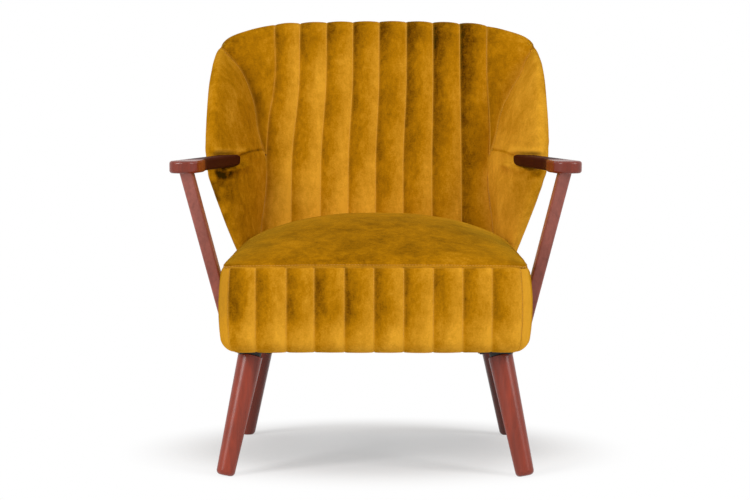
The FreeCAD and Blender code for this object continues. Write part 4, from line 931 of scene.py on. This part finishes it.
# ---- the seat
@dataclass
class Seat:
    """Covers of the seat: dome, channelled front band and sides.

    Attributes:
        seams: X of the front band's seams.
        rear: Y of the seat's end.
        tuck: how far the covers run on past it.
        puff: how full the channels are.
    """
    seams: tuple = (-257, -209.3, -155.4, -106.6, -53.9, -2.3, 49.8, 101.4, 153, 204, 257)
    rear: float = 158.0
    tuck: float = 2.0
    puff: float = 4.2

    def __post_init__(self) -> None:
        """Makes the form and measures half of its rim."""
        self.form = SeatForm()
        self.straight = self.form.half - INSET
        self.total = (self.straight + math.pi / 2 * INSET + self.rear + self.tuck
                      - self.form.front - INSET)

    def rim(self, t: Array, inset: float = INSET) -> tuple[Array, Array]:
        """Where the seat's rim is, as t runs -1 (left rear) over 0 (front middle) to 1 (right rear).

        Args:
            t: array of places.
            inset: distance of the returned points inside the sides.
        Returns:
            (points (..., 2), outward directions (..., 2)).
        """
        side, front = self.form.half - inset, self.form.front + inset
        corner = math.pi / 2 * inset
        run = np.abs(t) * (side + corner + (self.rear + self.tuck - front))
        a = np.clip((run - side) / inset, 0, math.pi / 2)
        y = front + np.maximum(run - side - corner, 0)
        sign = np.where(np.asarray(t) < 0, -1, 1)
        x = np.where(run < side, np.minimum(run, side), side)
        return np.stack([sign * x, y], -1), np.stack([sign * np.sin(a), -np.cos(a)], -1)

    def seam_curve(self, t: Array) -> Array:
        """Points of the seam round the top of the seat."""
        place, way = self.rim(t, 30.0)
        return self.form.cast(raised(place, 352.0), raised(way, 0.86))

    def dome(self) -> Panel:
        """The plain domed top."""
        mid = (self.straight + math.pi / 4 * INSET) / self.total
        u, v = np.linspace(-1, 1, 151), np.linspace(0, 1, 141)
        front = self.seam_curve(mid * u)
        left, right = (self.seam_curve(side * (mid + (1 - mid) * v)) for side in (-1, 1))
        x_rear = np.linspace(left[-1, 0], right[-1, 0], len(u))
        rear = np.stack([x_rear, np.full_like(x_rear, self.rear + self.tuck)], -1)
        s, t = ((u + 1) / 2)[None, :, None], v[:, None, None]
        between = ((1 - t) * front[None, :, :2] + t * rear[None]
                   + (1 - s) * left[:, None, :2] + s * right[:, None, :2])
        corners = ((1 - s) * (1 - t) * front[0, :2] + s * (1 - t) * front[-1, :2]
                   + (1 - s) * t * rear[0] + s * t * rear[-1])
        points = self.form.cast(raised(between - corners, 330.0), [0, 0, 1])
        points[0], points[:, 0], points[:, -1] = front, left, right
        panel = Panel.on(self.form, points)
        near = np.minimum.reduce([panel.from_edge(edge) for edge in (Edge.FIRST_ROW, *SIDES)])
        panel.lift += 2.0 * ease(near / 30)
        panel.draw_down(near, 1.5, 6)
        panel.pucker(near, 0.9, 22, (24, 24, 24))
        panel.soften(1.6, 130)
        x, y = panel.points[..., 0], panel.points[..., 1]
        # Painted light and shade: lighter towards the rear, darker overall, darkest across the front half and
        # on the left.
        panel.nap_and_painted_light += 0.5 * ease((y - 20) / 130)
        panel.nap_and_painted_light -= 0.30 + 0.25 * hill(y, 110, -120) + 0.3 * ease((-x - 120) / 110)
        return panel

    def band(self, t: Array, near: Array, half: Array) -> Panel:
        """A band from the top seam down and under the rail.

        Args:
            t: places on the rim, left to right.
            near: distance of each column to its nearest vertical seam.
            half: half of the channel's width.
        Returns:
            The panel, with its first row under the seat.
        """
        turn = 244.0
        place, way = self.rim(t)
        rows = [self.seam_curve(t)]
        rows += [self.form.cast(raised(place, z), raised(way, 0))
                 for z in (369, 364, 359, *np.linspace(352, 246, 26))]
        rows += [self.form.cast(raised(place, turn), raised(way * math.cos(a), -math.sin(a)))
                 for a in np.radians(np.linspace(0, 90, 12)[1:])]
        rows += [self.form.cast(raised(place - way * inward, turn), [0, 0, -1]) for inward in (10, 20)]
        panel = Panel.on(self.form, np.stack(rows, 0)[::-1])
        below = panel.from_edge(Edge.LAST_ROW)
        near_all = np.broadcast_to(near, panel.lift.shape)
        under = ease((below - 128) / 40)
        full = channel(near, half, self.puff)[None] * (1 - 0.85 * under)
        panel.lift += full * ease(below / 14) - 1.2 * (1 - under)
        panel.draw_down(near_all, 1.0, 4)
        panel.draw_down(below, 1.4, 6)
        panel.pucker(np.minimum(near_all, below), 0.5, 9, (22, 22, 16))
        panel.soften(0.9, 90)
        x, corner = panel.points[..., 0], ease((-296 - panel.points[..., 1]) / 26)
        # Painted light and shade: the right front corner lighter, the left one darker; painted sheen where
        # the band rolls under the rail.
        painted_corner_light = np.where(x > 0, 1.3, -0.7) * ease((np.abs(x) - 250) / 18) * corner
        panel.nap_and_painted_light += 0.75 * ease((below - 78) / 50) + painted_corner_light
        return panel

    def build(self, finish: Material, stitches: Stitches) -> None:
        """Makes the objects of the seat and adds its seams to the stitches."""
        dome = self.dome()
        stitches.along(dome, 1, slice(None))
        for edge in (1, -2):
            stitches.along(dome, slice(None, -14), edge)
        piece = Piece("seat_top").add(*dome.grid((Edge.FIRST_ROW, *SIDES)))
        piece.build(finish, ("seat_cover_top", "seat_foam"), 0.85)
        knots = [lambda z, x=x: np.full_like(z, x) for x in self.seams]
        xs, near, half, place = (a[0] for a in lerp_columns(knots, np.zeros(1)))
        front = self.band(xs / self.total, near, half)
        # Painted light: each channel of the band lighter on its right side.
        front.nap_and_painted_light += 0.8 * place * ease(near / 1.2)
        for k in range(0, front.points.shape[1], PER_CHANNEL):
            stitches.along(front, slice(14, -1), k)
        hems = (*SIDES, Edge.LAST_ROW)
        piece = Piece("seat_front").add(*front.grid(hems))
        piece.build(finish, ("seat_cover_front", "seat_pad_front"), 0.85)
        start = self.seams[-1] / self.total
        t = np.concatenate([np.linspace(start, start + 0.12, 30), np.linspace(start + 0.12, 0.995, 70)[1:]])
        place = self.rim(t)[0]
        run = np.concatenate([[0], np.cumsum(np.linalg.norm(np.diff(place, axis=0), axis=1) + 1e-6)])
        near = np.minimum(run, run[-1] - run)
        for side, label in ((-1, "left"), (1, "right")):
            panel = self.band((side * t)[::side], near[::side], np.full_like(near, 40.0))
            piece = Piece(f"seat_side_{label}").add(*panel.grid(hems, (1.0, 4.5, 12.0)))
            piece.build(finish, (f"seat_cover_{label}", f"seat_pad_{label}"), 0.85)


# ---- finishes
class Nodes:
    """A small helper that lays out one material's nodes."""

    def __init__(self, name: str) -> None:
        """Starts a material with its shader."""
        self.material = bpy.data.materials.new(name)
        self.material.use_nodes = True
        self.tree = self.material.node_tree
        self.shader = self.tree.nodes["Principled BSDF"]

    def add(self, kind: str, **settings: str) -> bpy.types.Node:
        """A node with its properties set."""
        node = self.tree.nodes.new(kind)
        for key, value in settings.items():
            setattr(node, key, value)
        return node

    @staticmethod
    def fill(node: bpy.types.Node, **inputs: float | tuple) -> None:
        """Plain values of a node's inputs; Base_Color stands for "Base Color"."""
        for key, value in inputs.items():
            node.inputs[key.replace("_", " ")].default_value = value

    def link(self, source: Socket, target: Socket) -> None:
        """Joins an output socket to an input socket."""
        self.tree.links.new(source, target)

    def noise(self, coordinate: Socket, scale: float, detail: float = 4.0,
              rough: float = 0.55, distortion: float = 0.0) -> Socket:
        """A noise texture's factor."""
        node = self.add("ShaderNodeTexNoise")
        self.fill(node, Scale=scale, Detail=detail, Roughness=rough, Distortion=distortion)
        self.link(coordinate, node.inputs["Vector"])
        return node.outputs["Fac"]

    def ramp(self, factor: Socket, stops: Sequence[tuple[float, Triple]]) -> Socket:
        """A colour ramp of (place, colour) stops."""
        node = self.add("ShaderNodeValToRGB")
        elements = node.color_ramp.elements
        while len(elements) < len(stops):
            elements.new(0.5)
        for element, (place, colour) in zip(elements, stops):
            element.position, element.color = place, (*colour, 1)
        self.link(factor, node.inputs["Fac"])
        return node.outputs["Color"]

    def put(self, value: float | Triple | Socket, socket: Socket) -> None:
        """Gives a socket a number, a colour or a link."""
        if isinstance(value, (int, float)):
            socket.default_value = value
        elif isinstance(value, tuple):
            socket.default_value = (*value, 1)
        else:
            self.link(value, socket)

    def math(self, operation: str, first: float | Socket,
             second: float | Socket) -> Socket:
        """A maths node; each side is a socket or a number."""
        node = self.add("ShaderNodeMath", operation=operation)
        for slot, value in enumerate((first, second)):
            self.put(value, node.inputs[slot])
        return node.outputs[0]

    def mix(self, factor: Socket, first: Socket, second: Triple) -> Socket:
        """A mix from a socket's colour to a plain one."""
        node = self.add("ShaderNodeMix", data_type="RGBA", blend_type="MIX")
        for key, value in (("Factor", factor), ("A", first), ("B", second)):
            self.put(value, next(s for s in node.inputs if s.name == key and s.enabled))
        return next(s for s in node.outputs if s.enabled)

    def bump(self, height: Socket, strength: float, distance: float) -> None:
        """A bump from a height socket, linked to the shader."""
        node = self.add("ShaderNodeBump")
        self.fill(node, Strength=strength, Distance=distance)
        self.link(height, node.inputs["Height"])
        self.link(node.outputs["Normal"], self.shader.inputs["Normal"])

    def fade(self, value: Socket, low: float, high: float, least: float = 0.0) -> Socket:
        """A smooth step from least to 1 as a value goes from low to high."""
        node = self.add("ShaderNodeMapRange", interpolation_type="SMOOTHSTEP")
        self.fill(node, From_Min=low, From_Max=high, To_Min=least)
        self.link(value, node.inputs["Value"])
        return node.outputs[0]

    def coordinates(self, kind: str = "Object", scale: Triple = (1, 1, 1),
                    rotation: Triple = (0, 0, 0)) -> Socket:
        """Mapped texture coordinates."""
        source, mapping = self.add("ShaderNodeTexCoord"), self.add("ShaderNodeMapping")
        self.fill(mapping, Scale=scale, Rotation=rotation)
        self.link(source.outputs[kind], mapping.inputs["Vector"])
        return mapping.outputs["Vector"]


@dataclass(frozen=True)
class Velvet:
    """Cut-pile velvet: its colour runs from deep to light with random pile mottle and with the light and
    shade painted on the mesh, and seen along its tips it shows a sheen.
    """
    # The dark stops also paint shade, in the hems and below the arms; the light stop also paints highlights.
    crushed: Triple = (0.035, 0.016, 0.0005)
    deep: Triple = (0.120, 0.042, 0.0006)
    body: Triple = (0.405, 0.166, 0.0022)
    light: Triple = (0.70, 0.335, 0.025)
    tips: Triple = (1.0, 0.60, 0.04)

    def make(self, name: str) -> Material:
        """The material; it reads from the mesh the seams' painted highlight and the pile mottle with its
        painted light and shade.
        """
        n = Nodes(name)
        place, cloth = n.coordinates(), n.coordinates("UV")
        patches = n.noise(place, 7.0, 3, 0.5, 0.4)
        crushed = n.noise(n.coordinates(scale=(1, 1, 0.55)), 30.0, 5, 0.62, 0.5)
        grain = n.noise(cloth, 330.0, 3, 0.7)
        nap_and_painted_light = n.add("ShaderNodeAttribute", attribute_name="nap_and_painted_light").outputs["Fac"]
        # The mesh's painted light and shade and the random mottle set where on the ramp a point falls.
        pile_and_painted_light = n.math("ADD", 0.5, n.math("MULTIPLY", nap_and_painted_light, 0.30))
        fine = n.noise(n.coordinates(scale=(1, 1, 0.7)), 120.0, 4, 0.7)
        for source, share in ((patches, 0.45), (crushed, 0.60), (fine, 0.45), (grain, 0.40)):
            pile_and_painted_light = n.math("ADD", pile_and_painted_light, n.math("MULTIPLY", n.math("SUBTRACT", source, 0.5), share))
        colour = n.ramp(pile_and_painted_light, [(0.0, self.crushed), (0.12, self.deep), (0.5, self.body), (0.92, self.light)])
        # Painted highlight: near a seam the colour is mixed towards the light one.
        seam_highlight = n.add("ShaderNodeAttribute", attribute_name="seam_highlight").outputs["Fac"]
        n.link(n.mix(n.math("MULTIPLY", seam_highlight, 0.55), colour, self.light), n.shader.inputs["Base Color"])
        pile = n.noise(cloth, 1300.0, 2, 0.6)
        height = n.math("ADD", n.math("MULTIPLY", pile, 0.4), n.math("MULTIPLY", grain, 0.6))
        n.bump(height, 0.4, 0.0012)
        n.fill(n.shader, Roughness=1.0, Sheen_Weight=0.40, Sheen_Roughness=0.34, Sheen_Tint=(*self.tips, 1),
               Specular_IOR_Level=0.0)
        return n.material


@dataclass(frozen=True)
class Lacquer:
    """Red-brown stained wood under a satin lacquer.

    Attributes:
        tone_and_painted_light: how bright it is; set per piece, it paints light and shade.
        lean: degrees that turn the grain from the Z axis.
        body: its colour.
        painted_tail_shade: whether it is painted dark towards the wing, as the shade there.
        tail: colour of that painted shade at the dark end.
    """
    tone_and_painted_light: float = 1.0
    lean: Triple = (0.0, 0.0, 0.0)
    body: Triple = (0.27, 0.032, 0.010)
    painted_tail_shade: bool = False
    tail: Triple = (0.024, 0.001, 0.0008)

    def make(self, name: str) -> Material:
        """The material, with its grain along the turned Z axis."""
        n = Nodes(name)
        place = n.coordinates(rotation=tuple(math.radians(a) for a in self.lean), scale=(1, 1, 0.07))
        wide = n.noise(place, 26.0, 3, 0.5, 1.2)
        fine = n.noise(place, 230.0, 4, 0.65, 0.3)
        grain = n.math("ADD", n.math("MULTIPLY", wide, 0.62), n.math("MULTIPLY", fine, 0.38))
        stops = [(0.30, 0.62), (0.5, 1.0), (0.70, 1.36)]
        colour = n.ramp(grain, [(at, tuple(c * share * self.tone_and_painted_light for c in self.body)) for at, share in stops])
        # Painted shade: the arm darkens and loses its coat towards the wing.
        if self.painted_tail_shade:
            split = n.add("ShaderNodeSeparateXYZ")
            n.link(n.coordinates(), split.inputs[0])
            tail = n.fade(split.outputs["Y"], -0.25, -0.14)
            colour = n.mix(n.math("MULTIPLY", tail, 0.93), colour, self.tail)
            n.link(n.math("SUBTRACT", 0.8, n.math("MULTIPLY", tail, 0.7)), n.shader.inputs["Coat Weight"])
        n.link(colour, n.shader.inputs["Base Color"])
        n.bump(fine, 0.10, 0.0004)
        n.fill(n.shader, Roughness=0.7, Specular_IOR_Level=0.05, Coat_Weight=0.8, Coat_Roughness=0.27,
               Coat_IOR=1.5)
        return n.material


@dataclass(frozen=True)
class Plain:
    """A simple finish with a little unevenness."""
    colour: Triple
    rough: float = 0.7
    metal: float = 0.0
    grain: float = 60.0
    stretch: Triple = (1, 1, 1)
    contrast: float = 0.18

    def make(self, name: str) -> Material:
        """The material."""
        n = Nodes(name)
        spots = n.noise(n.coordinates(scale=self.stretch), self.grain, 4, 0.6)
        low = tuple(c * (1 - self.contrast) for c in self.colour)
        high = tuple(min(1, c * (1 + self.contrast)) for c in self.colour)
        n.link(n.ramp(spots, [(0.35, low), (0.65, high)]), n.shader.inputs["Base Color"])
        n.bump(spots, 0.15, 0.0004)
        n.fill(n.shader, Roughness=self.rough, Metallic=self.metal)
        return n.material


class Finishes:
    """All finishes of the chair, and which CAD nodes wear them."""

    PLAIN = {
        "beech": Plain((0.52, 0.34, 0.17), 0.6, 0, 30, (1, 1, 0.15)),
        "plywood": Plain((0.58, 0.40, 0.21), 0.6, 0, 40, (1, 0.3, 1)),
        "hardboard": Plain((0.12, 0.065, 0.03), 0.5, 0, 300),
        "felt": Plain((0.17, 0.155, 0.14), 0.95, 0, 240, contrast=0.4),
        "webbing": Plain((0.075, 0.05, 0.03), 0.9, 0, 500, contrast=0.35),
        "spring_wire": Plain((0.25, 0.25, 0.26), 0.38, 1, 200),
        "zinc": Plain((0.55, 0.55, 0.56), 0.34, 1, 120),
        "black_steel_and_shade": Plain((0.02, 0.02, 0.02), 0.6, 0, 120),
        "thread": Plain((0.62, 0.30, 0.035), 0.8, 0, 400),
        "dust_cloth": Plain((0.012, 0.012, 0.012), 0.9, 0, 700, contrast=0.5),
    }
    # Painted sheen: the posts' colour is paler and less red than the other wood.
    POST_WITH_PAINTED_SHEEN = (0.30, 0.085, 0.062)
    # Painted light and shade in the tones: the left post and front-left leg lighter than the right ones, the
    # rear legs darker still as if shaded.
    WOOD = {
        "armrest_left": ("arm_left", Lacquer(0.62, (90, 0, -ARM_TOE), painted_tail_shade=True)),
        "armrest_right": ("arm_right", Lacquer(0.62, (90, 0, ARM_TOE), painted_tail_shade=True)),
        "arm_post_left": ("post_left", Lacquer(1.1, (-33, 0, 0), POST_WITH_PAINTED_SHEEN)),
        "arm_post_right": ("post_right", Lacquer(0.9, (-33, 0, 0), POST_WITH_PAINTED_SHEEN)),
        "leg_front_left": ("leg_front_left", Lacquer(0.9, (12, 11, 0))),
        "leg_front_right": ("leg_front_right", Lacquer(0.8, (12, -11, 0))),
        "leg_rear_left": ("leg_rear_left", Lacquer(0.6, (-20, 11, 0))),
        "leg_rear_right": ("leg_rear_right", Lacquer(0.45, (-20, -11, 0))),
    }
    WORN_BY = {
        "beech": ("seat_rail_front", "seat_rail_rear", "seat_rail_left", "seat_rail_right",
                  "seat_corner_blocks", "back_upright_left", "back_upright_right", "back_rail_top",
                  "back_rail_arm", "back_rail_bottom", "arm_post_dowels", "arm_post_spacers"),
        "plywood": ("wing_board_left", "wing_board_right"),
        "hardboard": ("back_board",),
        "felt": ("seat_deck",),
        "webbing": ("back_straps",),
        "spring_wire": ("seat_springs",),
        "zinc": ("seat_spring_clips", "leg_hanger_bolts", "back_frame_bolts", "arm_tail_bolts",
                 "arm_tail_inserts", "arm_post_bolts", "arm_post_inserts"),
        # Black steel, made near-black so the leg plates and screws sink into the shade under the seat: partly
        # painted shade.
        "black_steel_and_shade": ("leg_plates", "leg_plate_screws"),
    }

    def __init__(self) -> None:
        """Makes every material."""
        self.velvet = Velvet().make("velvet_mustard")
        self.plain = {name: finish.make(name) for name, finish in self.PLAIN.items()}
        self.wear = {node: self.plain[name] for name, nodes in self.WORN_BY.items() for node in nodes}
        for node, (name, finish) in self.WOOD.items():
            self.wear[node] = finish.make(f"lacquer_{name}")

    def apply(self) -> None:
        """Puts the finishes on the CAD nodes that stay in view or inside."""
        for name, material in self.wear.items():
            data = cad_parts[name].data
            data.materials.clear()
            data.materials.append(material)
            data.polygons.foreach_set("material_index", [0] * len(data.polygons))


# ---- under the seat
@dataclass
class DustCover:
    """The black cloth stapled under the seat.

    Attributes:
        columns, rows: of its grid.
        sag: how far its middle hangs, in millimetres.
    """
    columns: int = 60
    rows: int = 56
    sag: float = 3.0

    def build(self, material: Material) -> None:
        low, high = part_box("dust_cover")
        x, y = np.meshgrid(np.linspace(low.x, high.x, self.columns), np.linspace(low.y, high.y, self.rows))
        edge = np.minimum.reduce([x - low.x, high.x - x, y - low.y, high.y - y]) / MM
        uneven = 0.4 * waves(np.stack([x, y, 0 * x], -1) / MM, 60) * ease(edge / 30)
        z = low.z / MM - 0.3 - (self.sag * ease((edge - 30) / 160) + uneven) + 0.5
        points = np.stack([x / MM, y / MM, z], -1)
        piece = Piece("dust_cloth").add(points, np.zeros(x.shape + (2,)), flip=True)
        mesh = piece.mesh()
        item = placed(piece.name, mesh)
        mesh.materials.append(material)
        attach(item, "root")
        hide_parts("dust_cover")
        log.info("%s: %d faces", piece.name, len(mesh.polygons))


# ---- light and camera
@dataclass
class Studio:
    """White sweep, soft lights and the camera.

    Attributes:
        lamps: name, place, height of the aim, size in metres and watts of each.
        eye: place of the camera.
        lens: in millimetres, for a sensor 36 wide.
        down, turned: degrees that the camera looks down and is turned left.
        near, far: where the floor's shadow starts to fade and has faded, in metres.
        felt: strength of the white room as light.
    """
    lamps: tuple = (("key", (-2.5, -2.6, 2.0), 0.42, 1.5, 84), ("fill", (2.9, -2.0, 2.1), 0.4, 1.5, 62),
                    ("top", (0.0, -0.1, 3.0), 0.4, 2.4, 12))
    eye: Triple = (0.030, -3.775, 0.584)
    lens: float = 94.85
    down: float = 3.04
    turned: float = 0.5
    near: float = 0.22
    far: float = 0.48
    felt: float = 0.40

    def build(self) -> None:
        """Makes the stage, the lights, the world and the camera."""
        self.floor()
        self.world()
        for lamp in self.lamps:
            self.lamp(*lamp)
        self.camera()

    @staticmethod
    def seen(tree: Tree) -> Socket:
        """1 where a thing is seen by the camera, in a reflection or through glass."""
        path = tree.nodes.new("ShaderNodeLightPath")
        total = path.outputs["Is Camera Ray"]
        for other in ("Is Glossy Ray", "Is Transmission Ray"):
            add = tree.nodes.new("ShaderNodeMath")
            add.operation = "MAXIMUM"
            tree.links.new(total, add.inputs[0])
            tree.links.new(path.outputs[other], add.inputs[1])
            total = add.outputs[0]
        return total

    @staticmethod
    def blend(tree: Tree, factor: Socket, first: Socket,
              second: Socket, surface: Socket) -> None:
        """Mixes two shaders into a surface."""
        mix = tree.nodes.new("ShaderNodeMixShader")
        for source, target in ((factor, mix.inputs["Fac"]), (first, mix.inputs[1]),
                               (second, mix.inputs[2]), (mix.outputs[0], surface)):
            tree.links.new(source, target)

    def floor(self) -> None:
        """A large white floor that keeps the chair's shadow and turns plain white away from it."""
        mesh = bpy.data.meshes.new("floor")
        mesh.from_pydata([(-9, -7, 0), (9, -7, 0), (9, 12, 0), (-9, 12, 0)], [], [(0, 1, 2, 3)])
        item = placed("floor", mesh)
        n = Nodes("floor_white")
        n.fill(n.shader, Base_Color=(0.88, 0.88, 0.88, 1), Roughness=0.9, Specular_IOR_Level=0.1)
        length = n.add("ShaderNodeVectorMath", operation="LENGTH")
        n.link(n.coordinates(scale=(0.95, 1.0, 1.0)), length.inputs[0])
        fade = n.fade(length.outputs["Value"], self.near, self.far, 0.3)
        self.blend(n.tree, n.math("MULTIPLY", fade, self.seen(n.tree)), n.shader.outputs[0],
                   n.add("ShaderNodeEmission").outputs[0], n.tree.nodes["Material Output"].inputs["Surface"])
        mesh.materials.append(n.material)

    def world(self) -> None:
        """White where it is seen, softer as light."""
        world = bpy.data.worlds.new("studio")
        bpy.context.scene.world = world
        world.use_nodes = True
        tree = world.node_tree
        tree.nodes.clear()
        out = tree.nodes.new("ShaderNodeOutputWorld")
        shown, felt = tree.nodes.new("ShaderNodeBackground"), tree.nodes.new("ShaderNodeBackground")
        for node, strength in ((shown, 1.0), (felt, self.felt)):
            Nodes.fill(node, Color=(1, 1, 1, 1), Strength=strength)
        self.blend(tree, self.seen(tree), felt.outputs[0], shown.outputs[0], out.inputs["Surface"])

    @staticmethod
    def lamp(name: str, place: Triple, aim: float, size: float, watts: float) -> None:
        """A square soft light.

        Args:
            name: of the light.
            place: where it hangs.
            aim: height of the point on the Z axis that it is turned to.
            size: of its side.
            watts: its power.
        """
        light = bpy.data.lights.new(name, "AREA")
        light.shape, light.size, light.energy = "SQUARE", size, watts
        item = placed(name, light)
        item.location = place
        item.rotation_mode = "QUATERNION"
        item.rotation_quaternion = (Vector((0, 0, aim)) - Vector(place)).to_track_quat("-Z", "Y")

    def camera(self) -> None:
        """The camera, in front of the chair and a little above its seat."""
        data = bpy.data.cameras.new("camera")
        data.sensor_width, data.lens = 36.0, self.lens
        item = placed("camera", data)
        item.location = self.eye
        item.rotation_euler = (math.radians(90 - self.down), 0, math.radians(self.turned))
        bpy.context.scene.camera = item


def main() -> None:
    """Builds everything round the frame."""
    logging.basicConfig(level=logging.INFO)
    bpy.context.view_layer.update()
    finishes = Finishes()
    finishes.apply()
    stitches = Stitches()
    Back().build(finishes.velvet, stitches)
    Seat().build(finishes.velvet, stitches)
    stitches.build(finishes.plain["thread"])
    DustCover().build(finishes.plain["dust_cloth"])
    Studio().build()
    bpy.context.scene.view_settings.view_transform = "Standard"


if __name__ == "__main__":
    main()
